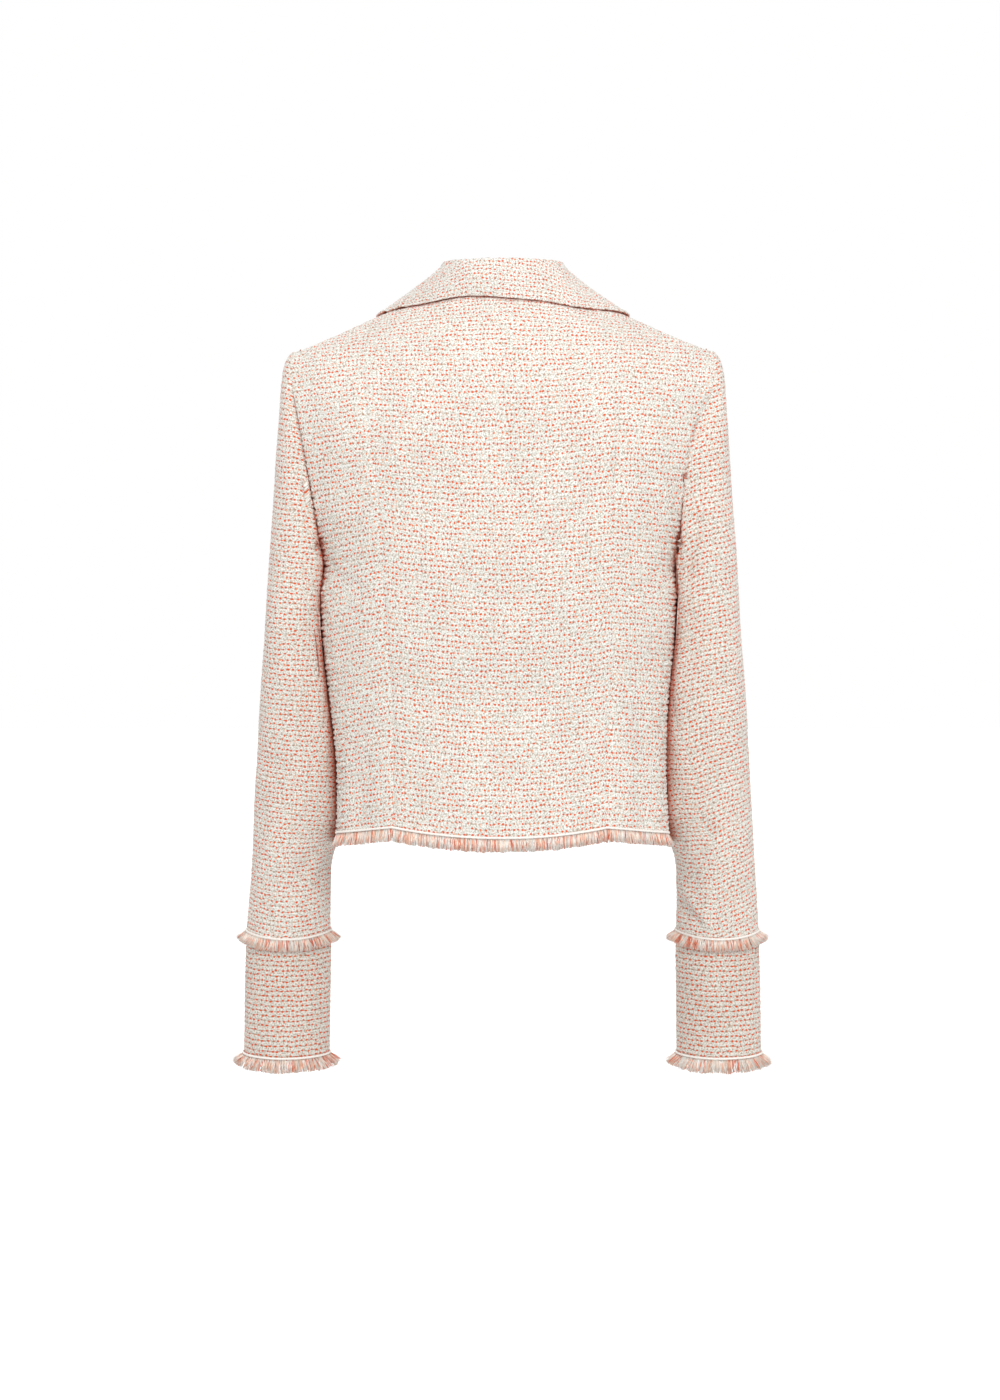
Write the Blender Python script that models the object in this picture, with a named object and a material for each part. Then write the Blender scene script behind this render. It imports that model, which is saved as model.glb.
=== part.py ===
"""Cropped tweed jacket, filled out as if worn, modelled as the pieces that are cut and sewn.

Axes: +Z is up, the fronts face -Y and +X is the wearer's left. The origin lies on the centre plane,
level with the points where the shoulder seams meet the neck. Sizes are in millimetres up to the
moment a mesh is written, which is in metres.
"""
import bmesh
import bpy
import numpy as np

MM = 0.001

# ---------------------------------------------------------------- driving dimensions, millimetres
WALL = 2.0              # thickness of the tweed
SEAM = 0.4              # clearance between two pieces at a seam
LAY = 0.4               # clearance under a piece that lies on another

NECK_HALF = 57.0        # centre plane to the shoulder seam's neck end
NECK_Z = 2.0            # height of the back neck edge
RIDGE_Z = 17.9          # height of the shoulder line, if it ran on to the centre plane
RIDGE_SLOPE = 0.43
RIDGE_BLEND = 30.0      # radius over which the shoulder line turns level at the centre plane
BACK_ROUND = 130.0      # drop over which the back turns from level to upright
FRONT_ROUND = 230.0     # the same for the fronts
SECTION_POWER = 2.4     # squareness of the body's horizontal sections
SETTLE_STEPS = 12       # rounds in which a point's width and height are worked out from each other

ARM_TOP_X = 189.0       # shoulder tip
UNDERARM_Z = -245.0
ARM_DEPTH = 56.0        # half the armhole's width, front to back
ARM_CAP = 0.03          # share of the armhole's half height, at its top, that has one width
REACH_MOST = 0.95       # largest share of the section's depth that the armhole takes
ROUNDING_LEAST = 0.05
HEM_SIDE_Z = -485.0
HEM_SEAM_Z = -473.0     # the hem rises a little at the two long back seams
HEM_CENTRE_Z = -481.0

OVERLAP = 12.0          # how far each front runs past the centre plane
BREAK_Z = -208.0        # where the lapel starts to turn back
OVERLAP_STEP = 1.6      # the right front lies this much out, the left front this much in
STEP_FROM = 45.0        # distance from the centre plane where that step starts
STEP_FULL = 17.0        # and where it is full
STEADY_FROM = 0.3       # share of the length below which rows turn from the shoulder's slope to level

BRAID_WIDTH = 2.4
BRAID_THICK = 1.4
FRINGE_THICK = 1.6
FRINGE_LENGTH = 13.0
HEM_FLARE = 1.5         # how far the fringe's lower edge stands out
SLEEVE_FLARE = 4.5
CUFF_FLARE = 5.0
FRINGE_INSET = -0.4     # the fringe starts this far out from the edge that it hangs from
SLEEVE_INSET = 1.3      # the sleeve's fringe clears the cuff below it
FRINGE_TIP = 0.6        # share of its thickness that the fringe keeps at its lower edge

BUTTON_RADIUS = 8.0
BUTTON_THICK = 3.2
BUTTON_BEVEL = 0.7
BUTTON_SIDES = 20
BUTTON_LEVELS = (-232.0, -307.0, -382.0)

UPPER_ROWS = 8          # rows of facets between shoulder and underarm
LOWER_ROWS = 5          # rows of facets between underarm and hem
CENTRE_COLUMNS = 10
SIDE_COLUMNS = 5
FRONT_COLUMNS = 9
TOP_SLEEVE_COLUMNS = 12
UNDER_SLEEVE_COLUMNS = 6
CUFF_COLUMNS = 18
ELBOW_RING = 6          # the top sleeve is one cut piece in two solids, above and below this ring
LAPEL_ROWS = 7
COLLAR_STEPS = 11       # stations from the centre back to each collar end
SHARP_EDGE = 40.0       # degrees past which an edge is shaded sharp

SIDES = {"l": 1, "r": -1}

TWEED_COLOUR = (0.80, 0.70, 0.64)
BRAID_COLOUR = (0.86, 0.80, 0.72)
FRINGE_COLOUR = (0.82, 0.66, 0.58)
BUTTON_COLOUR = (0.80, 0.72, 0.64)
CLOTH_ROUGHNESS = 0.9
YARN_ROUGHNESS = 0.95
RESIN_ROUGHNESS = 0.3


def table(names, *rows):
    """Named columns from rows of numbers."""
    return {name: np.array([row[k] for row in rows], float) for k, name in enumerate(names)}


# Half widths at the sides and depths from the shoulder line's plane, by height.
BODY = table(
    ("z", "left", "right", "back", "front"),
    (-485, 148, 147, 103, 107),
    (-448, 147, 145, 101, 105),
    (-410, 148, 143.5, 98, 102),
    (-362, 153, 145.5, 96, 100),
    (-303, 159.5, 151, 101, 109),
    (-245, 163, 156, 105, 115),
    (-150, 168, 165, 106, 112),
    (-60, 188, 188, 104, 107),
    (20, 190, 190, 102, 104))

# Distance of the armhole from the centre plane, by height.
ARMHOLE = table(
    ("z", "left", "right"),
    (-245, 163, 156),
    (-214, 165, 157.5),
    (-185, 168, 159.5),
    (-159, 172, 162),
    (-135, 176.5, 166),
    (-112, 181, 173),
    (-90, 185.5, 184),
    (-70, 188, 188),
    (-50, 189, 189))

# Distance of the long back seams from the centre plane, by height.
BACK_SEAM = table(
    ("z", "left", "right"),
    (-480, 97.5, 91),
    (-400, 97.5, 92.5),
    (-345, 99, 96.5),
    (-270, 105, 98),
    (-200, 108, 96.5),
    (-150, 113, 99.5),
    (-100, 121, 104),
    (-20, 128, 112))

# Sleeve rings from the armhole down. Outer and inner are the ring's ends in the front view,
# depth is half its size front to back, forward its lean to the front, toe how far the ring's front
# turns in along the body, dip how far its back sags and cling how much of the armhole's own curve
# it keeps.
SLEEVE = table(
    ("outer_x", "outer_z", "left_x", "right_x", "inner_z", "depth", "forward", "toe", "dip", "cling"),
    (189, -51.5, 163, 156, -245, 56, 0, 0, 0, 1.0),
    (195.5, -60, 164.5, 158, -249, 57, 0, 0.02, 0, 0.85),
    (198.5, -76, 165, 159, -254, 58, 1, 0.05, 0, 0.6),
    (200.5, -112, 164, 158, -262, 60, 3, 0.09, 0, 0.35),
    (203.5, -158, 162, 154.5, -272, 61, 6, 0.13, 0, 0.1),
    (208, -215, 159.5, 150.5, -286, 62, 10, 0.17, 0, 0),
    (213.5, -290, 156, 149, -310, 62, 15, 0.20, 0, 0),
    (219, -364, 149.5, 143.5, -368, 58, 23, 0.20, 1, 0),
    (224.5, -430, 147, 144.5, -432, 53, 31, 0.18, 2, 0),
    (228.5, -490, 155, 156, -490, 48, 38, 0.12, 3, 0),
    (232.5, -540, 157, 158, -540, 44, 43, 0.05, 4, 0),
    (235, -577, 157.8, 158.4, -577, 41, 45, 0, 5, 0))

# The two lengthwise sleeve seams, in degrees round the ring from its outer end by way of its back.
SLEEVE_SEAMS = table(
    ("back", "front"),
    (135, 225), (135, 225), (135, 225), (136, 225), (137, 226), (139, 227),
    (141, 228), (136, 229), (116, 230), (104, 230), (98, 230), (96, 230))

CUFF = table(
    ("outer_x", "left_x", "right_x", "z", "depth", "forward", "dip"),
    (235.2, 157.6, 158.2, -577.4, 41, 45, 5),
    (237, 158, 158.6, -633, 40, 46, 3),
    (238.5, 159, 159.4, -690, 40, 47, 1))

# The collar's left half from the centre back (way 0) to its front end (way 1). Seam, fold, middle
# and edge are the four lines that run along it.
COLLAR = table(
    ("way", "seam_x", "seam_y", "seam_z", "fold_x", "fold_y", "fold_z",
     "middle_x", "middle_y", "middle_z", "edge_x", "edge_y"),
    (0.00, 0, 49.5, 3.4, 0, 54, 28, 0, 60, 13, 0, 62),
    (0.20, 30, 42, 3.4, 30, 46, 28, 36, 51, 12.5, 42, 52),
    (0.35, 48, 24, 3.4, 46.5, 30, 28, 57, 37, 11, 76, 39),
    (0.50, 56.5, 1, 3.8, 53, 4, 27.5, 68, 8, 12.5, 108, 8),
    (0.64, 55, -24, 2.0, 54, -21, 21, 73, -18, 5, 114, -16),
    (0.82, 49.5, -49, -17, 52, -47, -5, 80.5, -43, -22, 113, -31),
    (1.00, 40.5, -69, -44, 42, -70, -40, 82, -65, -54.5, 110, -44))

COLLAR_BEND = 2.2           # radius of the fold along the collar's top
COLLAR_BEND_DROP = 1.3
COLLAR_LEAN = 3.3           # the collar's edge lies this much higher on the left and lower on the right
COLLAR_LEAN_TO = 0.55       # back to nothing at this way
COLLAR_SHARP_FROM = 0.8     # past this way the fall's curve turns into straight runs
FALL_STEPS = (0.25, 0.5, 0.75, 1.0)
FALL_FRONT_Y = -30.0        # in front of this the fall is kept off the front's depth, not its height
EDGE_LIFT = 2.0             # the fall's edge, at the middle of its wall, over the shoulder
FALL_LIFT = 2.0             # the rest of the fall, at least this far off the panels
NECK_DEPTH = 90.0           # depth of the section at the shoulder line, where it can't be read

NOTCH = (82.0, -58.0)       # x and z where the collar's end leaves the lapel's top edge
NOTCH_SHARE = 0.52          # the same point along a row, below the notch
NOTCH_FROM = 0.75           # share of the lapel's rows above which the rows bend to the notch
LAPEL_TIP = (118.0, -67.0)
LAPEL_TOP_Z = -47.0         # height of the lapel's fold where it meets the collar
LAPEL_FOOT_Z = BREAK_Z + 6
LAPEL_BULGE = 6.0           # how far the lapel's outer edge swells past a straight line
LAPEL_INSET = 1.0           # the lapel starts this far outside its fold
LAPEL_CROSS = 2.5           # and the left one this far outside the right front's edge
LAPEL_LEAST = 4.0           # least width of a lapel


# ------------------------------------------------------------------------------ small mathematics
def curve(xs, ys, x):
    """Smooth curve through the points (xs, ys), read at x and level past both ends."""
    if xs[0] > xs[-1]:
        xs, ys = xs[::-1], ys[::-1]
    slope = np.gradient(ys, xs)
    x = np.clip(x, xs[0], xs[-1])
    k = np.clip(np.searchsorted(xs, x) - 1, 0, len(xs) - 2)
    step = xs[k + 1] - xs[k]
    t = (x - xs[k]) / step
    low = (1 + 2 * t) * (1 - t) ** 2 * ys[k] + t * (1 - t) ** 2 * step * slope[k]
    high = t * t * (3 - 2 * t) * ys[k + 1] + t * t * (t - 1) * step * slope[k + 1]
    return low + high


def read(rows, column, z):
    return curve(rows["z"], rows[column], np.asarray(z, float))


def side_column(side):
    return "left" if side > 0 else "right"


def unit(vectors):
    return vectors / np.maximum(np.linalg.norm(vectors, axis=-1, keepdims=True), 1e-9)


def lerp(a, b, t):
    return a + (b - a) * t


def smoothstep(low, high, x):
    t = np.clip((x - low) / (high - low), 0, 1)
    return t * t * (3 - 2 * t)


# ------------------------------------------------------------------------------- the body's shape
def ridge(x):
    """Height of the shoulder line at x."""
    run = np.sqrt(x * x + RIDGE_BLEND ** 2) - RIDGE_BLEND
    return RIDGE_Z - RIDGE_SLOPE * run


ARM_TOP_Z = float(ridge(ARM_TOP_X))
ARM_HALF = (ARM_TOP_Z - UNDERARM_Z) / 2
ARM_MID_Z = (ARM_TOP_Z + UNDERARM_Z) / 2


def armhole_reach(z):
    """Half the armhole's width front to back at height z."""
    return ARM_DEPTH * np.sqrt(np.clip(1 - ((z - ARM_MID_Z) / ARM_HALF) ** 2, 0, 1))


def rounding(face, x, z):
    """0 on the shoulder line, 1 where the body has turned upright."""
    drop = (ridge(x) - z) / (BACK_ROUND if face == "back" else FRONT_ROUND)
    return np.sqrt(np.clip(1 - (1 - np.clip(drop, 0, 1)) ** 2, 0, 1))


def half_width(face, side, z):
    """Half width of the section at z. Above the underarm it carries the section to the armhole."""
    z = np.minimum(z, ARM_TOP_Z - ARM_CAP * ARM_HALF)
    edge = np.where(z > UNDERARM_Z, read(ARMHOLE, side_column(side), z), read(BODY, side_column(side), z))
    depth = read(BODY, face, z) * np.maximum(rounding(face, edge, z), ROUNDING_LEAST)
    reach = np.where(z > UNDERARM_Z, np.clip(armhole_reach(z) / depth, 0, REACH_MOST), 0)
    return edge / (1 - reach ** SECTION_POWER) ** (1 / SECTION_POWER)


def body_y(face, side, x, z):
    """Depth of the body's outer surface over the point x, z of the front view."""
    across = np.clip(np.abs(x) / half_width(face, side, z), 0, 1)
    section = (1 - across ** SECTION_POWER) ** (1 / SECTION_POWER)
    y = read(BODY, face, z) * section * rounding(face, x, z)
    return y if face == "back" else -y


def body_height(x, y, side):
    """Height of the shoulders' outer surface over the point x, y of the plan."""
    face = "back" if y > 0 else "front"
    turn = BACK_ROUND if face == "back" else FRONT_ROUND
    z = ridge(x)
    for _ in range(SETTLE_STEPS):
        round_share = float(rounding(face, x, z))
        full = abs(body_y(face, side, x, z)) / round_share if round_share > ROUNDING_LEAST else NECK_DEPTH
        z = ridge(x) - turn * (1 - np.sqrt(1 - min(abs(y) / full, 1) ** 2))
    return float(z)


def body_points(face, side, lean, drop, level, steady):
    """Points at `lean` (0 centre, 1 side). Their height is `drop` below the shoulder line where
    `steady` is 0, and `level` where it is 1."""
    x = np.zeros_like(lean)
    for _ in range(SETTLE_STEPS):
        z = lerp(ridge(x) - drop, level, steady)
        x = side * half_width(face, side, z) * np.sin(lean * np.pi / 2)
    z = lerp(ridge(x) - drop, level, steady)
    return np.stack([x, body_y(face, side, x, z), z], axis=-1)


def lean_at(face, side, x, z):
    """The lean of the point that has this x (positive towards the side) at height z."""
    return np.arcsin(np.clip(x / half_width(face, side, z), -1, 1)) * 2 / np.pi


def upper_share():
    """Share of the way from shoulder to underarm, for each upper row of facets."""
    return (1 - np.cos(np.pi * np.arange(UPPER_ROWS + 1) / UPPER_ROWS)) / 2


def lower_share():
    return np.arange(1, LOWER_ROWS + 1) / LOWER_ROWS


def outer_edge(side):
    """x and z down the armhole and the side seam."""
    z = np.concatenate([
        lerp(ARM_TOP_Z, UNDERARM_Z, upper_share()),
        lerp(UNDERARM_Z, HEM_SIDE_Z, lower_share())])
    x = np.where(z >= UNDERARM_Z, read(ARMHOLE, side_column(side), z), read(BODY, side_column(side), z))
    return x, z


def back_seam_edge(side):
    """x and z down the long back seam, on the same rows as the side."""
    column = BACK_SEAM[side_column(side)]
    top = ridge(column[-1])
    z = np.concatenate([
        lerp(top, UNDERARM_Z, upper_share()), lerp(UNDERARM_Z, HEM_SEAM_Z, lower_share())])
    return read(BACK_SEAM, side_column(side), z), z


def break_line_x(z):
    """Distance from the centre plane of a front's inner edge: the lapel's fold, then the edge."""
    share = np.clip((NECK_Z - z) / (NECK_Z - BREAK_Z), 0, 1)
    return lerp(NECK_HALF, -OVERLAP, share)


def overlap_step(side, x):
    """How far a front lies out of the shared surface near the centre plane."""
    near = 1 - smoothstep(STEP_FULL, STEP_FROM, x * side)
    return -side * OVERLAP_STEP * near


# ------------------------------------------------------------------------------- walls and meshes
def grid_normals(grid, closed=False):
    """Unit normals of a grid of points, pointing to the right-hand side of rows x columns."""
    down = np.gradient(grid, axis=0)
    if closed:
        along = np.roll(grid, -1, axis=1) - np.roll(grid, 1, axis=1)
    else:
        along = np.gradient(grid, axis=1)
    return unit(np.cross(down, along))


def flatten_edge(normals, index, plane):
    """Keep the wall's edge parallel to a plane, so that two walls meet without crossing."""
    edge = normals[index]
    edge = edge - (edge @ plane)[..., None] * plane
    normals[index] = unit(edge)


def pull_edge(outer, inner, index, towards, gap):
    """Draw one edge of a wall back into its own piece."""
    shift = unit(outer[towards] - outer[index]) * gap
    outer[index] = outer[index] + shift
    inner[index] = inner[index] + shift


FIRST_COLUMN = np.s_[:, 0]
SECOND_COLUMN = np.s_[:, 1]
LAST_COLUMN = np.s_[:, -1]
BEFORE_LAST_COLUMN = np.s_[:, -2]
FIRST_ROW = np.s_[0]
SECOND_ROW = np.s_[1]
LAST_ROW = np.s_[-1]
BEFORE_LAST_ROW = np.s_[-2]
ACROSS_X = np.array([1.0, 0.0, 0.0])
ACROSS_Y = np.array([0.0, 1.0, 0.0])


def outward(normals, grid):
    """Turn the normals so that they point away from the inside of the jacket or sleeve."""
    centre = grid.reshape(-1, 3).mean(axis=0)
    return normals if np.sum(normals * (grid - centre)) > 0 else -normals


def wall_object(name, outer, inner, material, closed=False):
    """One closed wall between two grids of points."""
    rows, columns, _ = outer.shape
    mesh = bpy.data.meshes.new(name)
    shell = bmesh.new()
    skins = [[[shell.verts.new(point * MM) for point in row] for row in skin] for skin in (outer, inner)]
    last = columns if closed else columns - 1
    for skin in skins:
        for j in range(rows - 1):
            for i in range(last):
                k = (i + 1) % columns
                shell.faces.new((skin[j][i], skin[j][k], skin[j + 1][k], skin[j + 1][i]))
    out, into = skins
    for j in (0, rows - 1):
        for i in range(last):
            k = (i + 1) % columns
            shell.faces.new((out[j][i], out[j][k], into[j][k], into[j][i]))
    if not closed:
        for i in (0, columns - 1):
            for j in range(rows - 1):
                shell.faces.new((out[j][i], out[j + 1][i], into[j + 1][i], into[j][i]))
    bmesh.ops.triangulate(shell, faces=shell.faces[:])
    bmesh.ops.recalc_face_normals(shell, faces=shell.faces[:])
    shell.to_mesh(mesh)
    shell.free()
    return add_object(name, mesh, material)


def add_object(name, mesh, material):
    mesh.materials.append(material)
    piece = bpy.data.objects.new(name, mesh)
    bpy.context.collection.objects.link(piece)
    mesh.shade_smooth()
    mesh.set_sharp_from_angle(angle=np.radians(SHARP_EDGE))
    return piece


def plain_material(name, colour, roughness):
    material = bpy.data.materials.new(name)
    material.use_nodes = True
    shader = material.node_tree.nodes["Principled BSDF"]
    shader.inputs["Base Color"].default_value = (*colour, 1)
    shader.inputs["Roughness"].default_value = roughness
    shader.inputs["Metallic"].default_value = 0
    return material


# ----------------------------------------------------------------------------------- body panels
def back_centre(material):
    left_x, z_left = back_seam_edge(1)
    right_x, z_right = back_seam_edge(-1)
    a = np.linspace(-1, 1, CENTRE_COLUMNS + 1)[None, :]
    x = np.where(a > 0, a * left_x[:, None], a * right_x[:, None])
    top = np.maximum(ridge(x[:1]) - NECK_Z, 0)
    hem = ridge(x[-1:]) - lerp(HEM_CENTRE_Z, HEM_SEAM_Z, a * a)
    edge_drop = lerp(ridge(right_x) - z_right, ridge(left_x) - z_left, 0.5)[:, None]
    progress = (edge_drop - edge_drop[0]) / (edge_drop[-1] - edge_drop[0])
    drop = lerp(top, hem, progress)
    z = ridge(x) - drop
    y = np.where(x > 0, body_y("back", 1, x, z), body_y("back", -1, x, z))
    outer = np.stack([x, y, z], axis=-1)
    normals = outward(grid_normals(outer), outer)
    for edge in (FIRST_COLUMN, LAST_COLUMN):
        flatten_edge(normals, edge, ACROSS_X)
    shoulder = np.abs(x[0]) > NECK_HALF
    normals[0, shoulder, 1] = 0
    normals = unit(normals)
    inner = outer - normals * WALL
    pull_edge(outer, inner, FIRST_COLUMN, SECOND_COLUMN, SEAM / 2)
    pull_edge(outer, inner, LAST_COLUMN, BEFORE_LAST_COLUMN, SEAM / 2)
    pull_edge(outer, inner, FIRST_ROW, SECOND_ROW, SEAM / 2)
    wall_object("back_centre", outer, inner, material)
    return outer


def side_panel(face, side, columns, inner_x, inner_z):
    """A panel from an inner edge, given by its x and z, to the armhole and side seam."""
    outer_x, outer_z = outer_edge(side)
    outer_lean = np.where(outer_z > UNDERARM_Z + 0.01, lean_at(face, side, outer_x, outer_z), 1.0)
    inner_lean = lean_at(face, side, inner_x, inner_z)
    a = np.linspace(0, 1, columns + 1)[None, :]
    lean = lerp(inner_lean[:, None], outer_lean[:, None], a)
    drop = lerp((ridge(inner_x) - inner_z)[:, None], (ridge(outer_x) - outer_z)[:, None], a)
    drop[0] = 0
    level = lerp(inner_z[:, None], outer_z[:, None], a)
    steady = smoothstep(STEADY_FROM, 1.0, np.linspace(0, 1, len(inner_z)))[:, None]
    return body_points(face, side, lean, drop, level, steady)


def finish_side_panel(name, outer, normals, material, inner_is_seam):
    if inner_is_seam:
        flatten_edge(normals, FIRST_COLUMN, ACROSS_X)
    flatten_edge(normals, FIRST_ROW, ACROSS_Y)
    flatten_edge(normals, np.s_[UPPER_ROWS:, -1], ACROSS_Y)
    inner = outer - normals * WALL
    if inner_is_seam:
        pull_edge(outer, inner, FIRST_COLUMN, SECOND_COLUMN, SEAM / 2)
    pull_edge(outer, inner, LAST_COLUMN, BEFORE_LAST_COLUMN, SEAM / 2)
    pull_edge(outer, inner, FIRST_ROW, SECOND_ROW, SEAM / 2)
    wall_object(name, outer, inner, material)


def back_side(tag, side, material):
    x, z = back_seam_edge(side)
    outer = side_panel("back", side, SIDE_COLUMNS, x, z)
    normals = outward(grid_normals(outer), outer)
    finish_side_panel(f"back_side_{tag}", outer, normals, material, True)
    return outer


def front(tag, side, material):
    z = np.concatenate([
        lerp(float(ridge(NECK_HALF)), BREAK_Z, upper_share()),
        lerp(BREAK_Z, HEM_CENTRE_Z, lower_share())])
    x = break_line_x(z)
    outer = side_panel("front", side, FRONT_COLUMNS, x, z)
    normals = outward(grid_normals(outer), outer)
    outer = outer + normals * overlap_step(side, outer[..., 0])[..., None]
    finish_side_panel(f"front_{tag}", outer, normals, material, False)
    return outer


# ---------------------------------------------------------------------------------------- sleeves
def sleeve_points(side, degrees):
    """Sleeve rings: one row for each ring, one column for each angle."""
    inner_x = SLEEVE[f"{side_column(side)}_x"][:, None]
    outer_x, outer_z, inner_z = (SLEEVE[name][:, None] for name in ("outer_x", "outer_z", "inner_z"))
    angle = np.radians(degrees)
    along, around = np.cos(angle), np.sin(angle)
    half = (outer_x - inner_x) / 2
    turn = SLEEVE["toe"][:, None] * SLEEVE["depth"][:, None]
    x = (outer_x + inner_x) / 2 + np.sqrt(half ** 2 - turn ** 2) * along + turn * around
    z = lerp(inner_z, outer_z, (1 + along) / 2)
    arm_z = lerp(UNDERARM_Z, ARM_TOP_Z, (1 + along) / 2)
    arm_line = lerp(inner_x[0], outer_x[0], (1 + along) / 2)
    bow = read(ARMHOLE, side_column(side), arm_z) - arm_line
    x = x + SLEEVE["cling"][:, None] * bow
    x[0] += SEAM
    y = SLEEVE["depth"][:, None] * around - SLEEVE["forward"][:, None]
    z = z - SLEEVE["dip"][:, None] * np.clip(around, 0, 1) ** 2
    return np.stack([side * x, y, z], axis=-1)


def sleeve_normals(side, degrees):
    """Normals shared by both sleeve pieces along their seams."""
    step = 2.0
    ahead, behind = sleeve_points(side, degrees + step), sleeve_points(side, degrees - step)
    down = np.gradient(sleeve_points(side, degrees), axis=0)
    normals = unit(np.cross(down, ahead - behind)) * side
    arm_z = sleeve_points(side, degrees)[0, :, 2]
    column = side_column(side)
    slope = (read(ARMHOLE, column, arm_z + 1) - read(ARMHOLE, column, arm_z - 1)) / 2
    plane = unit(np.stack([side + 0 * slope, 0 * slope, -slope], axis=-1))
    across = np.clip(np.sum(normals[0] * plane, axis=-1), 0, 1)
    normals[0] = unit(normals[0] - across[:, None] * plane)
    return normals


def sleeve_walls(side, start, end, columns):
    """The outer and inner points of a sleeve piece between two seams."""
    a = np.linspace(0, 1, columns + 1)[None, :]
    degrees = lerp(start[:, None], end[:, None], a)
    outer = sleeve_points(side, degrees)
    inner = outer - sleeve_normals(side, degrees) * WALL
    pull_edge(outer, inner, FIRST_COLUMN, SECOND_COLUMN, SEAM / 2)
    pull_edge(outer, inner, LAST_COLUMN, BEFORE_LAST_COLUMN, SEAM / 2)
    return outer, inner


def top_sleeve(tag, walls, material):
    """The top sleeve's two solids, short enough for collision hulls to follow their curves."""
    upper = [points[:ELBOW_RING + 1].copy() for points in walls]
    lower = [points[ELBOW_RING:].copy() for points in walls]
    pull_edge(*upper, LAST_ROW, BEFORE_LAST_ROW, SEAM / 2)
    pull_edge(*lower, FIRST_ROW, SECOND_ROW, SEAM / 2)
    wall_object(f"top_sleeve_{tag}", *upper, material)
    wall_object(f"top_sleeve_lower_{tag}", *lower, material)


def sleeve(tag, side, material):
    """Both sleeve pieces, and the ring of points round the sleeve's lower end."""
    back, front_seam = SLEEVE_SEAMS["back"], SLEEVE_SEAMS["front"]
    top_sleeve(tag, sleeve_walls(side, front_seam - 360, back, TOP_SLEEVE_COLUMNS), material)
    under_walls = sleeve_walls(side, back, front_seam, UNDER_SLEEVE_COLUMNS)
    wall_object(f"under_sleeve_{tag}", *under_walls, material)
    over = np.linspace(front_seam[-1] - 360, back[-1], TOP_SLEEVE_COLUMNS + 1)
    under = np.linspace(back[-1], front_seam[-1], UNDER_SLEEVE_COLUMNS + 1)
    around = np.concatenate([over[:-1], under[:-1]])
    return sleeve_points(side, np.tile(around, (len(SLEEVE["depth"]), 1)))[-1]


def cuff_points(side, swell=0.0):
    """Rings of the lower cuff. Swell moves them out."""
    angle = np.radians(np.arange(CUFF_COLUMNS) * 360 / CUFF_COLUMNS)[None, :]
    outer_x = CUFF["outer_x"][:, None] + swell
    inner_x = CUFF[f"{side_column(side)}_x"][:, None] - swell
    x = lerp(inner_x, outer_x, (1 + np.cos(angle)) / 2)
    y = (CUFF["depth"][:, None] + swell) * np.sin(angle) - CUFF["forward"][:, None]
    z = CUFF["z"][:, None] - CUFF["dip"][:, None] * np.clip(np.sin(angle), 0, 1) ** 2
    return np.stack([side * x, y, z], axis=-1)


def cuff(tag, side, material):
    wall_object(f"cuff_{tag}", cuff_points(side), cuff_points(side, -WALL), material, closed=True)


# ------------------------------------------------------------------------------------ edge trims
def skirt(name, path, out, rows, material, closed=False):
    """A band that follows a path. Each row gives a height, an inner and an outer offset."""
    grids = [np.stack([path + out * row[k] + np.array([0, 0, row[0]]) for row in rows]) for k in (2, 1)]
    return wall_object(name, grids[0], grids[1], material, closed)


def level_normals(path, closed):
    """Outward directions of a path, kept level."""
    if closed:
        along = np.roll(path, -1, axis=0) - np.roll(path, 1, axis=0)
    else:
        along = np.gradient(path, axis=0)
    out = unit(np.stack([along[:, 1], -along[:, 0], 0 * along[:, 2]], axis=-1))
    centre = path.mean(axis=0)
    return out if np.sum(out * (path - centre)) > 0 else -out


def braid_rows():
    return ((BRAID_WIDTH, LAY, LAY + BRAID_THICK), (0.0, LAY, LAY + BRAID_THICK))


def fringe_rows(flare, start):
    middle = start + flare / 2
    return (
        (-SEAM, start, start + FRINGE_THICK),
        (-FRINGE_LENGTH / 2, middle, middle + FRINGE_THICK),
        (-FRINGE_LENGTH, start + flare, start + flare + FRINGE_THICK * FRINGE_TIP))


def hem_trim(tag, path, braid, fringe):
    out = level_normals(path, False)
    skirt(f"hem_braid_{tag}", path, out, braid_rows(), braid)
    skirt(f"hem_fringe_{tag}", path, out, fringe_rows(HEM_FLARE, FRINGE_INSET), fringe)


def ring_trim(stem, tag, path, flare, start, braid, fringe):
    out = level_normals(path, True)
    skirt(f"{stem}_braid_{tag}", path, out, braid_rows(), braid, closed=True)
    skirt(f"{stem}_fringe_{tag}", path, out, fringe_rows(flare, start), fringe, closed=True)


def cut_path(path, keep_from):
    """The part of a hem path past a distance from the centre plane, with its start exactly there."""
    distance = np.abs(path[:, 0]) * np.sign(path[-1, 0]) * np.sign(path[:, 0])
    first = int(np.argmax(distance > keep_from))
    before, after = path[first - 1], path[first]
    share = (keep_from - distance[first - 1]) / (distance[first] - distance[first - 1])
    return np.concatenate([[lerp(before, after, share)], path[first:]])


# -------------------------------------------------------------------------------- collar, lapels
def collar_line(name, axes, way):
    """A point of one of the collar's lines. A mirrored station before the centre back keeps the
    line smooth there."""
    ways = np.concatenate([[-COLLAR["way"][1]], COLLAR["way"]])
    point = []
    for axis in axes:
        values = COLLAR[f"{name}_{axis}"]
        mirrored = -values[1] if axis == "x" else values[1]
        point.append(float(curve(ways, np.concatenate([[mirrored], values]), way)))
    return np.array(point)


def collar_edge(way, side):
    """A point of the collar's free edge, lying on the shoulder, back or front."""
    x, y = collar_line("edge", "xy", way)
    y -= side * COLLAR_LEAN * np.sin(np.pi * min(way / COLLAR_LEAN_TO, 1))
    return np.array([x, y, body_height(x, y, side) + EDGE_LIFT])


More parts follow.
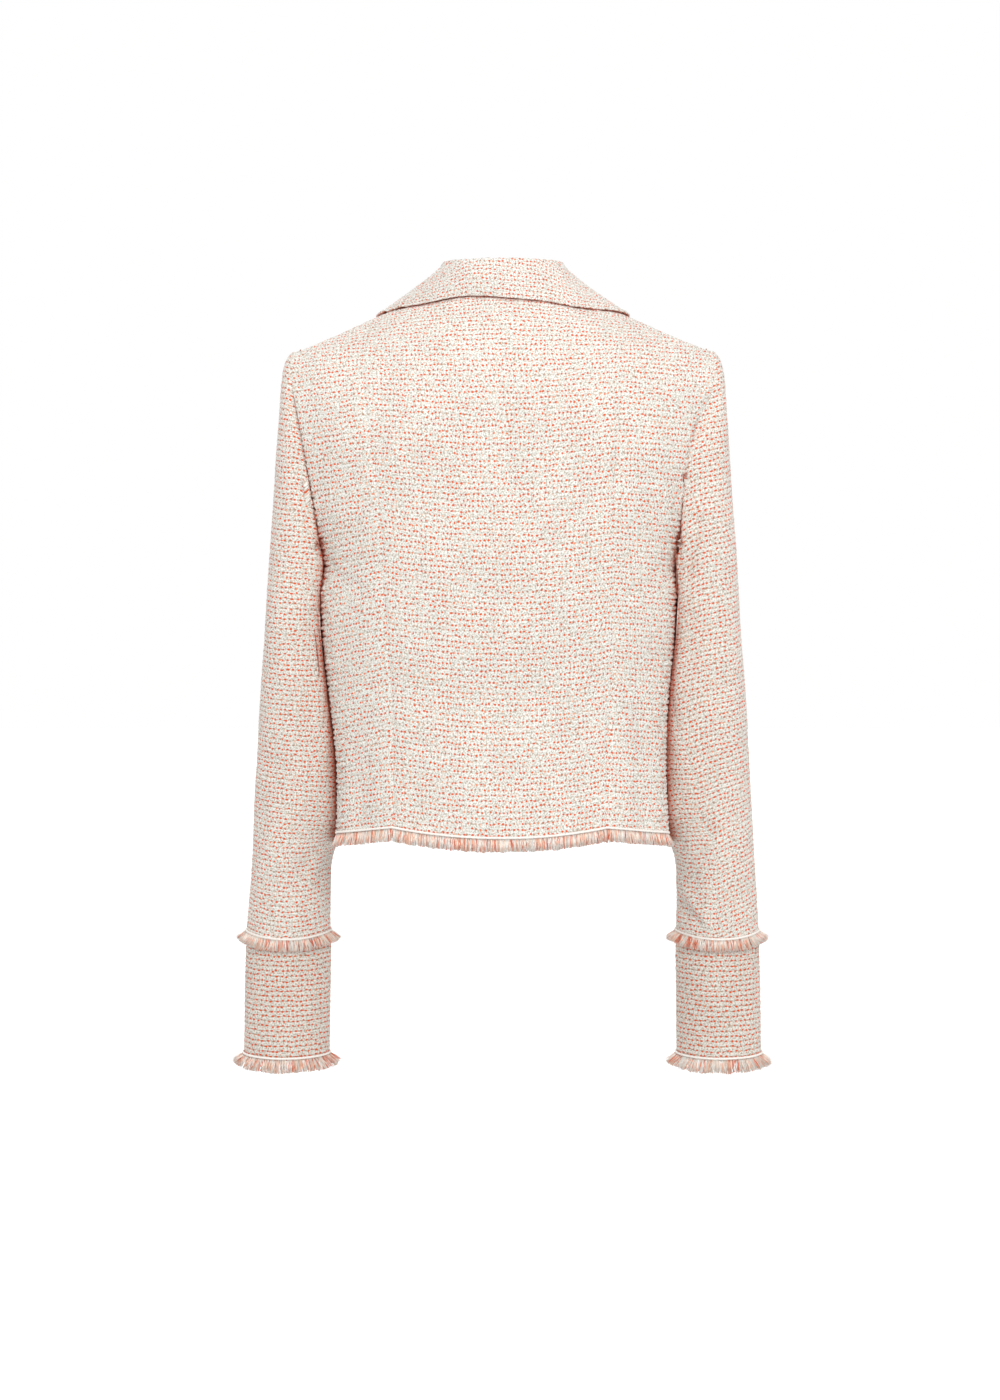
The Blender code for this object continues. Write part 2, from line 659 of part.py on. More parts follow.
def clear_of_body(point, side):
    """Move a point of the collar's fall out until it clears the panel that it lies on."""
    x, y, z = point
    if y < FALL_FRONT_Y:
        return np.array([x, min(y, float(body_y("front", side, x, z)) - FALL_LIFT), z])
    return np.array([x, y, max(z, body_height(x, y, side) + FALL_LIFT)])


def collar_section(way, side):
    """Points across the collar's middle layer: up the stand, over the fold and down the fall."""
    seam, fold, middle = (collar_line(name, "xyz", way) for name in ("seam", "fold", "middle"))
    edge = collar_edge(way, side)
    out = unit(np.array([edge[0] - seam[0], edge[1] - seam[1], 0]))
    down = np.array([0, 0, -COLLAR_BEND_DROP])
    before, after = fold - out * COLLAR_BEND + down, fold + out * COLLAR_BEND + down
    section = [seam, lerp(seam, before, 0.5), before, fold, after]
    sharp = smoothstep(COLLAR_SHARP_FROM, 1.0, way)
    for t in FALL_STEPS:
        soft = (2 * (t - 0.5) * (t - 1) * fold - 4 * t * (t - 1) * middle + 2 * t * (t - 0.5) * edge)
        straight = lerp(fold, middle, 2 * t) if t <= 0.5 else lerp(middle, edge, 2 * t - 1)
        section.append(clear_of_body(lerp(soft, straight, sharp), side))
    return np.array(section)


def collar(material):
    ways = np.linspace(0, 1, COLLAR_STEPS + 1)
    left = [collar_section(way, 1) for way in ways]
    right = [collar_section(way, -1) * [-1, 1, 1] for way in ways[1:]]
    middle = np.array(right[::-1] + left)
    normals = grid_normals(middle)
    outer = middle + normals * WALL / 2
    inner = middle - normals * WALL / 2
    wall_object("collar", outer, inner, material)


def lapel(tag, side, material):
    foot = np.array([break_line_x(BREAK_Z), LAPEL_FOOT_Z])
    rows = []
    for share in np.linspace(0, 1, LAPEL_ROWS + 1):
        z = lerp(LAPEL_FOOT_Z, LAPEL_TOP_Z, share)
        fold_x = break_line_x(z) + LAPEL_INSET
        if side > 0:
            fold_x = max(fold_x, -break_line_x(z) + LAPEL_CROSS)
        start = np.array([fold_x, z])
        tip = lerp(foot, np.array(LAPEL_TIP), share)
        tip[0] += LAPEL_BULGE * 4 * share * (1 - share)
        tip[0] = max(tip[0], fold_x + LAPEL_LEAST)
        notch = lerp(lerp(start, tip, NOTCH_SHARE), np.array(NOTCH), smoothstep(NOTCH_FROM, 1.0, share))
        rows.append([start, lerp(start, notch, 0.5), notch, lerp(notch, tip, 0.5), tip])
    flat = np.array(rows)[::-1]
    x, z = flat[..., 0], flat[..., 1]
    surface = np.stack([side * x, body_y("front", side, side * x, z), z], axis=-1)
    normals = outward(grid_normals(surface), surface)
    surface = surface + normals * overlap_step(side, surface[..., 0])[..., None]
    inner = surface + normals * LAY
    outer = surface + normals * (LAY + WALL)
    wall_object(f"lapel_{tag}", outer, inner, material)


# ---------------------------------------------------------------------------------------- buttons
def panel_y(panel, z):
    """Depth of a front panel on the centre plane at height z, on its own facets."""
    centre = np.array([[np.interp(0, row[:, 0][::-1], row[:, k][::-1]) for k in (1, 2)] for row in panel])
    return float(np.interp(z, centre[::-1, 1], centre[::-1, 0]))


def button(number, z, panel, material):
    mesh = bpy.data.meshes.new(f"button_{number}")
    disc = bmesh.new()
    bmesh.ops.create_cone(
        disc, cap_ends=True, segments=BUTTON_SIDES, radius1=BUTTON_RADIUS * MM,
        radius2=BUTTON_RADIUS * MM, depth=BUTTON_THICK * MM)
    rim = [edge for edge in disc.edges if abs(edge.verts[0].co.z - edge.verts[1].co.z) < 1e-6]
    bmesh.ops.bevel(disc, geom=rim, offset=BUTTON_BEVEL * MM, segments=1, affect="EDGES")
    disc.to_mesh(mesh)
    disc.free()
    piece = add_object(f"button_{number}", mesh, material)
    low, high = panel_y(panel, z - BUTTON_RADIUS), panel_y(panel, z + BUTTON_RADIUS)
    slope = (high - low) / (2 * BUTTON_RADIUS)
    y = min(panel_y(panel, z), (low + high) / 2)
    piece.location = (0, (y - LAY - BUTTON_THICK / 2) * MM, z * MM)
    piece.rotation_euler = (np.pi / 2 - np.arctan(slope), 0, 0)


# ----------------------------------------------------------------------------------------- jacket
def build():
    for item in list(bpy.data.objects):
        bpy.data.objects.remove(item, do_unlink=True)
    panels = {}
    names = (
        "back_centre", "back_side_l", "back_side_r", "front_l", "front_r", "lapel_l", "lapel_r",
        "collar", "sleeve_l", "sleeve_r", "cuff_l", "cuff_r")
    tweed = {name: plain_material(f"tweed_{name}", TWEED_COLOUR, CLOTH_ROUGHNESS) for name in names}
    braid = plain_material("cream_braid", BRAID_COLOUR, YARN_ROUGHNESS)
    fringe = plain_material("fringe_yarn", FRINGE_COLOUR, YARN_ROUGHNESS)
    resin = plain_material("button_resin", BUTTON_COLOUR, RESIN_ROUGHNESS)

    panels["centre"] = back_centre(tweed["back_centre"])
    for tag, side in SIDES.items():
        panels[f"side_{tag}"] = back_side(tag, side, tweed[f"back_side_{tag}"])
        panels[f"front_{tag}"] = front(tag, side, tweed[f"front_{tag}"])
        lapel(tag, side, tweed[f"lapel_{tag}"])
        sleeve_end = sleeve(tag, side, tweed[f"sleeve_{tag}"])
        cuff(tag, side, tweed[f"cuff_{tag}"])
        ring_trim("sleeve", tag, sleeve_end, SLEEVE_FLARE, SLEEVE_INSET, braid, fringe)
        ring_trim("cuff", tag, cuff_points(side)[-1], CUFF_FLARE, FRINGE_INSET, braid, fringe)
    collar(tweed["collar"])

    back_hem = np.concatenate([
        panels["side_r"][-1][::-1], panels["centre"][-1][1:-1], panels["side_l"][-1]])
    hem_trim("back", back_hem, braid, fringe)
    hem_trim("r", panels["front_r"][-1], braid, fringe)
    hem_trim("l", cut_path(panels["front_l"][-1], OVERLAP + 2), braid, fringe)
    for number, z in enumerate(BUTTON_LEVELS, start=1):
        button(number, z, panels["front_r"], resin)


build()
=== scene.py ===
"""The looks of a cropped tweed jacket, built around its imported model.

Each cloth piece is a thin sheet on its own node's surface, from the same formulas and tables as the
model. Its rows of facets follow the tweed's ribs, counted up from the hem, so the ribs are real
relief and the coloured yarn lies in the hollows between them.

Axes are the model's: +Z up, fronts at -Y, +X the wearer's left. Sizes are in millimetres up to the
moment a mesh is written, which is in metres. "Down" is the distance below the origin.
"""

import bmesh
import bpy
import numpy as np
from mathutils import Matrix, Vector


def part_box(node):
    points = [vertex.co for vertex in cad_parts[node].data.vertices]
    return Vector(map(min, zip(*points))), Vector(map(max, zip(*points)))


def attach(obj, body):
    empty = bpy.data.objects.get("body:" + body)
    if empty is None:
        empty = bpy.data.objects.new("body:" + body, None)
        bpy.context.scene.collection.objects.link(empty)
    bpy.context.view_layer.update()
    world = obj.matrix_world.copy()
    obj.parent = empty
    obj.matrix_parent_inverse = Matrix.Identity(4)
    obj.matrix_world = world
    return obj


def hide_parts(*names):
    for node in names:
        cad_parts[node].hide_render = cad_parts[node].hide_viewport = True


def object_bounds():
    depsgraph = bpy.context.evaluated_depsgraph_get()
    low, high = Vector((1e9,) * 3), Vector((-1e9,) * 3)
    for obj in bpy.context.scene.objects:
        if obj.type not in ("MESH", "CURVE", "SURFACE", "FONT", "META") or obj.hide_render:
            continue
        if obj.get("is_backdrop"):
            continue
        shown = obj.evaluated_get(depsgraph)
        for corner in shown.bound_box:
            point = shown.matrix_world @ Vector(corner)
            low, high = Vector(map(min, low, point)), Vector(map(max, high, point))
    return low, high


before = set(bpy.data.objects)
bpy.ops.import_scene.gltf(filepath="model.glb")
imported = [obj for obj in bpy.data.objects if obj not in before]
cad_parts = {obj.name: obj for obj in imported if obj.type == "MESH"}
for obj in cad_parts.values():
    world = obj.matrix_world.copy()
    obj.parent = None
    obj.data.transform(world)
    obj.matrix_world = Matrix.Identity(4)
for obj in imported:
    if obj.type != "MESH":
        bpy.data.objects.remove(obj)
CAD_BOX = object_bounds()

MM = 0.001
SIDES = {"l": 1, "r": -1}
SIDE_NAMES = {1: "left", -1: "right"}
BACK, FRONT = 1, -1

# ---- the model's sizes
WALL = 2.0
SEAM = 0.4
LAY = 0.4
NECK_HALF = 57.0
NECK_Z = 2.0
RIDGE_Z = 17.9
RIDGE_SLOPE = 0.43
RIDGE_BLEND = 30.0
ROUND = {"back": 130.0, "front": 230.0}
SECTION_POWER = 2.4
SETTLE_STEPS = 12
ARM_TOP_X = 189.0
UNDERARM_Z = -245.0
ARM_DEPTH = 56.0
ARM_CAP = 0.03
REACH_MOST = 0.95
ROUNDING_LEAST = 0.05
HEM_SIDE_Z = -485.0
HEM_SEAM_Z = -473.0
HEM_CENTRE_Z = -481.0
OVERLAP = 12.0
BREAK_Z = -208.0
OVERLAP_STEP = 1.6
STEP_FROM = 45.0
STEP_FULL = 17.0
STEADY_FROM = 0.3
UPPER_ROWS = 8
LOWER_ROWS = 5
TOLERANCE = 0.01


def table(names, *rows):
    """Named columns from rows of numbers."""
    return dict(zip(names.split(), np.array(rows, float).T))


BODY = table(
    "z left right back front",
    (-485, 148, 147, 103, 107),
    (-448, 147, 145, 101, 105),
    (-410, 148, 143.5, 98, 102),
    (-362, 153, 145.5, 96, 100),
    (-303, 159.5, 151, 101, 109),
    (-245, 163, 156, 105, 115),
    (-150, 168, 165, 106, 112),
    (-60, 188, 188, 104, 107),
    (20, 190, 190, 102, 104))

ARMHOLE = table(
    "z left right",
    (-245, 163, 156), (-214, 165, 157.5), (-185, 168, 159.5), (-159, 172, 162), (-135, 176.5, 166),
    (-112, 181, 173), (-90, 185.5, 184), (-70, 188, 188), (-50, 189, 189))

BACK_SEAM = table(
    "z left right",
    (-480, 97.5, 91), (-400, 97.5, 92.5), (-345, 99, 96.5), (-270, 105, 98), (-200, 108, 96.5),
    (-150, 113, 99.5), (-100, 121, 104), (-20, 128, 112))

# One row for each ring of a sleeve, from the armhole down.
SLEEVE = table(
    "outer_x outer_z left right inner_z depth forward toe dip cling",
    (189, -51.5, 163, 156, -245, 56, 0, 0, 0, 1.0),
    (195.5, -60, 164.5, 158, -249, 57, 0, 0.02, 0, 0.85),
    (198.5, -76, 165, 159, -254, 58, 1, 0.05, 0, 0.6),
    (200.5, -112, 164, 158, -262, 60, 3, 0.09, 0, 0.35),
    (203.5, -158, 162, 154.5, -272, 61, 6, 0.13, 0, 0.1),
    (208, -215, 159.5, 150.5, -286, 62, 10, 0.17, 0, 0),
    (213.5, -290, 156, 149, -310, 62, 15, 0.20, 0, 0),
    (219, -364, 149.5, 143.5, -368, 58, 23, 0.20, 1, 0),
    (224.5, -430, 147, 144.5, -432, 53, 31, 0.18, 2, 0),
    (228.5, -490, 155, 156, -490, 48, 38, 0.12, 3, 0),
    (232.5, -540, 157, 158, -540, 44, 43, 0.05, 4, 0),
    (235, -577, 157.8, 158.4, -577, 41, 45, 0, 5, 0))
ELBOW = 7               # its row

# Angles of its seams, from the outer side over the back to the front, degrees
SLEEVE_SEAMS = table(
    "back front",
    (135, 225), (135, 225), (135, 225), (136, 225), (137, 226), (139, 227),
    (141, 228), (136, 229), (116, 230), (104, 230), (98, 230), (96, 230))

CUFF = table(
    "outer_x left right z depth forward dip",
    (235.2, 157.6, 158.2, -577.4, 41, 45, 5),
    (237, 158, 158.6, -633, 40, 46, 3),
    (238.5, 159, 159.4, -690, 40, 47, 1))

COLLAR = table(
    "way seam_x seam_y seam_z fold_x fold_y fold_z middle_x middle_y middle_z edge_x edge_y",
    (0.00, 0, 49.5, 3.4, 0, 54, 28, 0, 60, 13, 0, 62),
    (0.20, 30, 42, 3.4, 30, 46, 28, 36, 51, 12.5, 42, 52),
    (0.35, 48, 24, 3.4, 46.5, 30, 28, 57, 37, 11, 76, 39),
    (0.50, 56.5, 1, 3.8, 53, 4, 27.5, 68, 8, 12.5, 108, 8),
    (0.64, 55, -24, 2.0, 54, -21, 21, 73, -18, 5, 114, -16),
    (0.82, 49.5, -49, -17, 52, -47, -5, 80.5, -43, -22, 113, -31),
    (1.00, 40.5, -69, -44, 42, -70, -40, 82, -65, -54.5, 110, -44))

COLLAR_BEND = 2.2
COLLAR_BEND_DROP = 1.3
COLLAR_LEAN = 3.3
COLLAR_LEAN_TO = 0.55
COLLAR_SHARP_FROM = 0.8
COLLAR_SMOOTHING = 3
STAND_ROWS = 9
BEND_ROWS = 6
FALL_ROWS = 34
FALL_START = 3          # the fall's first rows are left to the bend
FALL_FRONT_Y = -30.0
EDGE_LIFT = 2.0
FALL_LIFT = 2.0
NECK_DEPTH = 90.0
NOTCH = (82.0, -58.0)
NOTCH_SHARE = 0.52
NOTCH_FROM = 0.75
LAPEL_TIP = (118.0, -67.0)
LAPEL_TOP_Z = -47.0
LAPEL_FOOT_Z = BREAK_Z + 6
LAPEL_BULGE = 6.0
LAPEL_INSET = 1.0
LAPEL_CROSS = 2.5
LAPEL_LEAST = 4.0
BUTTON_RADIUS = 8.0
BUTTON_THICK = 3.2

# ---- how the sheets differ from the model
# A bump has a size, the middle of the place where it is and how wide it is.
CORNER = (0.14, 138.0, 30.0)    # a sleeve's back stands out by this share, around this angle
CORNER_RINGS = (0.4, 2.6, 8.0, 10.0)    # rises between the first two rings, fades between the last
SEAM_LOW = -1.4         # the sleeve's top edge from the body's at the lower half of the armhole,
SEAM_TURN = (60.0, 110.0)       # from this angle on
PULL = (11.0, 150.0, 34.0)      # a sleeve's inner back comes this near to the body, around this angle,
PULL_RINGS = (-0.6, 0.7, 8.6, 9.6)
PULL_CLEAR = (1.5, 2.7)         # but stays this far clear of it at the back and at the front,
PULL_FRONT = (0.0, 35.0)
CLEAR_RINGS = (0.2, 1.2)        # from these rings on
TUCK = (6.5, -464.0, 20.0)      # its inner edge comes in behind the body's hem, around this height
SIDE_FULL = (4.6, 0.84, 0.11)   # the body's back stands out, at this share of the way to the side,
SIDE_FULL_DOWN = (235.0, 270.0)         # below the armholes

# ---- the tweed
BODY_RIB = 4.95         # one rib and its hollow, up the cloth
SLEEVE_RIB = 4.6
COLLAR_RIB = 4.1
LOOP = 3.7              # one loop along a rib
RIB_STEPS = 3           # rows of facets to a rib
RIB_START = 0.35        # share of a rib that is cut off at the hem
ROUND_SHARE = 0.65      # steps front to back count this much along a rib, so loops are wider there
FACET = 1.65            # width of a facet, and of the sheets that are divided into them
WIDTHS = {"centre": 235, "side": 86, "front": 200, "lapel": 80, "top": 215, "under": 95, "cuff": 262,
          "collar": 350}
FINE_ROWS = 170         # rows of the smooth surface that the ribs are laid on
WEAVE_STARTS = 97       # places where a piece's weave can start
RIB_HEIGHT = 0.30
RIB_APART = 3.7         # one rib from the next in the noise of their height
LOOP_HEIGHT = 0.42
RIB_UNEVEN = 0.45
SINK = 0.8              # the hollows between ribs lie this far under the model's surface,
SINK_FROM = 14.0        # but come up to it within this distance of an armhole
BUMP_MORE = 2.2         # ribs stand higher, by this share, where the body turns to its sides
BUMP_FACING = (-0.8, -0.5)      # from none to all as less of its normal is front to back
WAVE_HEIGHT = 0.8       # slow waves of the whole cloth
WAVE_LENGTH = 75.0
FOLD_SEEN = (-0.15, 0.25)       # a fold fades where the cloth faces away from its own side
SEAM_DIP = (1.1, 0, 2.6)
SOFT_DIP = 0.3
PRESSED_DOWN = (60.0, 120.0)    # a pressed seam is nearly flat above
PRESSED_LEAST = 0.2
CREASE = (3.0, 0, 3.0)  # the left sleeve's seam is deeper at the back, at these distances down,
CREASE_DOWN = (80.0, 96.0, 205.0, 225.0)
CREASE_FROM = (0.0, 20.0)       # which starts this far left of and behind the middle
EDGE_FLAT = 3.5         # distance from an edge over which the ribs fade
EDGE_KEEP = 0.35        # share of the ribs that is left on the edge
EDGE_LOOPED = 2.0       # and on one where the yarn's loops show

# How much higher the ribs lie the farther out a point is: on a sleeve up to the turn and past it,
# and how much lower on the side panels of the back
SLOPE_TURN = 34.0
SLEEVE_SLOPES = {"l": (0.03, 0.03), "r": (0.30, 0.16)}
SIDE_DROOP = table(
    "z left right", (-480, 0.24, 0.10), (-300, 0.24, 0.10), (-150, 0.14, 0.06), (0, 0.06, 0.04))

# Each kind of edge goes so far out from the cloth's edge and so far down under it.
TURNED_UNDER = (-0.5, 1.7), (-3.0, 2.1), (-8.0, 2.1)
ROLLED = (0.55, 0.3), (0.8, 1.1), (0.5, 1.9), (-1.0, 2.4)
EDGES = {
    "seam": ((-0.1, 0.8), *TURNED_UNDER),
    "pressed": ((0.16, 0.05), (0.17, 0.6), *TURNED_UNDER),
    "armhole": ((0.5, 0.15), (0.9, 0.7), (0.6, 1.7), (-3.0, 2.2), (-8.0, 2.2)),
    "turned": (*ROLLED, (-4.0, 2.5), (-9.0, 2.5)),
    "tucked": ((1.2, 0.5), (2.0, 1.6), (2.6, 3.0), (4.6, 3.9), (7.0, 4.2)),
    "narrow": (*ROLLED, (-3.0, 2.5)),
    "folded": ((0.8, 0.6), (1.5, 1.9), (1.1, 3.3), (0.0, 4.2)),
}
EDGES |= {"soft": EDGES["pressed"], "looped": EDGES["turned"]}

# Soft folds. Each runs from one point of the front view to another, and has a width and a height,
# which is below 0 for a trough.
FOLDS = {
    "body": {
        BACK: (
            (-191, -88, -170, -124, 6, -1.6), (-2, -80, -3, -170, 15, -1.3),
            (20, -92, 44, -150, 13, 0.8), (-103, -80, -102, -168, 8, -1.6),
            (112, -96, 104, -170, 9, -1.0), (75, -398, 79, -452, 11, -1.5),
            (122, -418, 126, -470, 14, -1.9), (-121, -372, -124, -470, 13, -1.9),
            (-15, -330, -20, -425, 24, -1.7), (22, -405, 28, -465, 17, 1.4),
            (-55, -395, -58, -470, 15, -1.1), (-140, -245, -112, -268, 9, -1.2),
            (148, -250, 118, -272, 9, -1.1)),
        FRONT: (
            (40, -330, 48, -470, 20, -1.6), (-62, -360, -66, -472, 18, -1.5),
            (112, -290, 92, -360, 17, -1.5), (-110, -280, -88, -345, 15, -1.4),
            (120, -110, 96, -185, 16, -1.3), (-118, -120, -98, -190, 15, -1.2))},
    "sleeve": {
        BACK: (
            (-192, -90, -171, -124, 7, -2.8), (-196, -118, -176, -146, 8, 1.0),
            (179, -152, 171, -205, 6, -1.6), (-180, -162, -171, -205, 9, -1.8),
            (-171, -205, -162, -250, 10, -3.4), (-154, -544, -166, -560, 5, -2.6),
            (-186, -482, -170, -528, 12, -2.2), (-168, -490, -180, -524, 7, 1.2),
            (-154, -540, -176, -566, 6, -2.8), (-160, -530, -186, -570, 5, 1.6),
            (-214, -400, -198, -452, 13, -1.4), (162, -498, 182, -520, 9, -2.0),
            (157, -506, 168, -536, 6, -1.6), (205, -420, 190, -470, 14, -1.5),
            (168, -290, 174, -400, 13, -1.3), (-164, -290, -172, -410, 13, -1.3)),
        FRONT: (
            (190, -330, 170, -378, 12, -2.2), (196, -372, 172, -412, 11, -1.9),
            (-188, -338, -166, -384, 12, -2.1), (-198, -388, -172, -420, 10, -1.8),
            (206, -480, 184, -520, 13, -1.5), (-206, -470, -186, -515, 13, -1.5))},
    "cuff": {
        BACK: ((185, -600, 181, -680, 16, -1.0), (-215, -600, -209, -684, 14, -1.0)),
        FRONT: ((-190, -600, -186, -680, 16, -1.0),)},
}

# ---- yarn trims
CORD_WIDE = 2.1
CORD_DEEP = 1.7
CORD_SIDES = 10
CORD_STEP = 0.9
CORD_LEAST = 8          # fewest steps
CORD_TWIST = 4.6        # length of one turn
CORD_PLY = 0.13         # depth of the grooves between its two plies
CORD_LIFT = 1.3         # middle of the cord above the cloth's edge
CORD_OUT = 1.1          # and out from it
STRANDS_TO_MM = 5.6
STRAND_LONG = (10.8, 12.2)
STRAND_WIDE = 0.48
STRAND_DEEP = 0.28
STRAND_TIP = 0.75       # share of its width that is left at its tip
STRAND_STEPS = 2
STRAND_SIDES = 3
STRAND_LEAN = 0.11      # spreads of a strand's lean along the edge, of its angle and of its bow
STRAND_STAND = 0.8
STRAND_BOW = 0.35
STRAND_SPIN = 0.5       # and of its turn about itself
STRAND_RAISE = 0.5      # its root lies this far above the edge
STRAND_MIX = 0.82       # how much of its colour is its own and not its tuft's
TUFT = 3.0              # width of the tufts that strands gather in
TUFT_LEAN = 0.01
TUFT_LONG = 0.03
TUFT_STAND = 0.5
TUFT_PINCH = 0.04
FLARE_MOST = 75
# Share of the length; angle from straight down at the back, at the sides, and its spread, degrees
HEM_CUT = (1.0, 5, 16, 7)
SLEEVE_CUT = (0.92, 9, 42, 9)
CUFF_CUT = (1.08, 14, 42, 11)
ROOT_IN = -0.4          # how far out from the edge the strands of the hem and the cuffs start,
ROOT_OUT = 0.5          # and those of a sleeve
TRIM_FROM = OVERLAP + 2         # the left front's trims end beside the right front's edge

# ---- buttons: distance from the centre and height, as shares of radius and thickness
BUTTON_PROFILE = (
    (0.0, 0.50), (0.30, 0.50), (0.55, 0.56), (0.68, 0.72), (0.78, 0.95), (0.88, 1.0),
    (0.95, 0.90), (1.0, 0.62), (1.0, 0.30), (0.93, 0.04), (0.80, 0.0), (0.0, 0.0))
BUTTON_SIDES = 64


# ---- small mathematics
def curve(xs, ys, x):
    """Smooth curve through the points (xs, ys), read at x and level past both ends."""
    if xs[0] > xs[-1]:
        xs, ys = xs[::-1], ys[::-1]
    slope = np.gradient(ys, xs)
    x = np.clip(x, xs[0], xs[-1])
    k = np.clip(np.searchsorted(xs, x) - 1, 0, len(xs) - 2)
    step = xs[k + 1] - xs[k]
    t = (x - xs[k]) / step
    low = (1 + 2 * t) * (1 - t) ** 2 * ys[k] + t * (1 - t) ** 2 * step * slope[k]
    high = t * t * (3 - 2 * t) * ys[k + 1] + t * t * (t - 1) * step * slope[k + 1]
    return low + high


def read(rows, column, z):
    """A column of a table at heights z. A side, 1 or -1, is the column of its name."""
    return curve(rows["z"], rows[SIDE_NAMES.get(column, column)], np.asarray(z, float))


def between(rows, columns, index):
    """Columns of a table, read smoothly between its rows."""
    for column in columns:
        values = rows[SIDE_NAMES.get(column, column)]
        yield curve(np.arange(len(values), dtype=float), values, index)[:, None]


def unit(vectors):
    return vectors / np.maximum(np.linalg.norm(vectors, axis=-1, keepdims=True), 1e-9)


def lerp(a, b, t):
    return a + (b - a) * t


def smoothstep(low, high, x):
    t = np.clip((x - low) / (high - low), 0, 1)
    return t * t * (3 - 2 * t)


def window(limits, x):
    """Rises from 0 to 1 between the first two limits and falls again between the last two."""
    rise, full, fade, none = limits
    return smoothstep(rise, full, x) * (1 - smoothstep(fade, none, x))


def bump(numbers, x, shown=1):
    size, at, wide = numbers
    return size * shown * np.exp(-((x - at) / wide) ** 2)


def clamp(x):
    return np.clip(x, 0, 1)


def dot(a, b):
    return np.sum(a * b, axis=-1)


def stack(*parts):
    """Points, pairs or faces from arrays of each of their numbers."""
    return np.stack(parts, axis=-1)


SCRAMBLE_FACTOR = np.uint64(0x9E3779B97F4A7C15)


def scramble(cells, seed):
    """A number between -1 and 1 for each whole-numbered cell."""
    mixed = np.uint64(seed * 7919 + 17)
    for k in range(cells.shape[-1]):
        mixed = (mixed ^ cells[..., k].astype(np.int64).astype(np.uint64)) * SCRAMBLE_FACTOR
        mixed = mixed ^ (mixed >> np.uint64(29))
    return (mixed >> np.uint64(40)).astype(float) / 2 ** 23 - 1


def noise(points, size, seed=0):
    """Smooth noise between -1 and 1 with cells of one size."""
    place = points / size
    cell = np.floor(place)
    part = place - cell
    part = part * part * (3 - 2 * part)
    total = np.zeros(points.shape[:-1])
    for corner in np.ndindex(*(2,) * points.shape[-1]):
        share = np.prod(np.where(corner, part, 1 - part), axis=-1)
        total += share * scramble(cell + corner, seed)
    return total


def run_along(points, axis=0):
    """Distance along each row or column of points, from its start."""
    steps = np.linalg.norm(np.diff(points, axis=axis), axis=-1)
    return np.insert(np.cumsum(steps, axis=axis), 0, 0, axis=axis)


# ---- the body's shape
def ridge(x):
    run = np.sqrt(x * x + RIDGE_BLEND ** 2) - RIDGE_BLEND
    return RIDGE_Z - RIDGE_SLOPE * run


ARM_TOP_Z = float(ridge(ARM_TOP_X))
ARM_HALF = (ARM_TOP_Z - UNDERARM_Z) / 2
ARM_MID_Z = (ARM_TOP_Z + UNDERARM_Z) / 2


def armhole_reach(z):
    return ARM_DEPTH * np.sqrt(clamp(1 - ((z - ARM_MID_Z) / ARM_HALF) ** 2))


def rounding(face, x, z):
    drop = (ridge(x) - z) / ROUND[face]
    return np.sqrt(clamp(1 - (1 - clamp(drop)) ** 2))


def section(share):
    """Share of the body's depth at a share of its half width, or the other way round."""
    return (1 - share ** SECTION_POWER) ** (1 / SECTION_POWER)


def side_edge(side, z):
    """How far out the armhole lies and, below it, the side seam."""
    return np.where(z > UNDERARM_Z, read(ARMHOLE, side, z), read(BODY, side, z))


def half_width(face, side, z):
    z = np.minimum(z, ARM_TOP_Z - ARM_CAP * ARM_HALF)
    edge = side_edge(side, z)
    depth = read(BODY, face, z) * np.maximum(rounding(face, edge, z), ROUNDING_LEAST)
    reach = np.where(z > UNDERARM_Z, np.clip(armhole_reach(z) / depth, 0, REACH_MOST), 0)
    return edge / section(reach)


def body_y(face, side, x, z):
    across = clamp(np.abs(x) / half_width(face, side, z))
    y = read(BODY, face, z) * section(across) * rounding(face, x, z)
    return y if face == "back" else -y


def body_height(x, y, side):
    """Height of the shoulders over points of the plan."""
    heights = []
    for face, turn in ROUND.items():
        z = ridge(x)
        for _ in range(SETTLE_STEPS):
            share = rounding(face, x, z)
            full = np.abs(body_y(face, side, x, z)) / np.maximum(share, ROUNDING_LEAST)
            full = np.where(share > ROUNDING_LEAST, full, NECK_DEPTH)
            z = ridge(x) - turn * (1 - np.sqrt(1 - np.minimum(np.abs(y) / full, 1) ** 2))
        heights.append(z)
    return np.where(y > 0, *heights)


def lean(share):
    """The way round to the side, up to 1, at a share of the half width."""
    return np.arcsin(np.clip(share, -1, 1)) * 2 / np.pi


def side_fullness(way, z):
    """How far the cloth stands out beside a sleeve, where the panel turns to the side."""
    return bump(SIDE_FULL, np.abs(way), smoothstep(*SIDE_FULL_DOWN, -z))


def body_side(side, y, z):
    """How far from the middle the body lies at points beside it."""
    back = y > 0
    full = np.where(back, half_width("back", side, z), half_width("front", side, z))
    share = clamp(np.abs(y) / np.where(back, read(BODY, "back", z), read(BODY, "front", z)))
    x = full * section(share)
    return x + back * side_fullness(lean(x / full), z)


def down_rows(top, middle, bottom):
    """Heights down a panel, spaced as the model's rows are but many more."""
    index = np.linspace(0, UPPER_ROWS + LOWER_ROWS, FINE_ROWS)
    upper = (1 - np.cos(np.pi * clamp(index / UPPER_ROWS))) / 2
    lower = clamp(index / LOWER_ROWS - UPPER_ROWS / LOWER_ROWS)
    return np.where(index < UPPER_ROWS, lerp(top, middle, upper), lerp(middle, bottom, lower))


def back_seam_edge(side):
    z = down_rows(ridge(BACK_SEAM[SIDE_NAMES[side]][-1]), UNDERARM_Z, HEM_SEAM_Z)
    return read(BACK_SEAM, side, z), z


def break_line_x(z):
    share = clamp((NECK_Z - z) / (NECK_Z - BREAK_Z))
    return lerp(NECK_HALF, -OVERLAP, share)


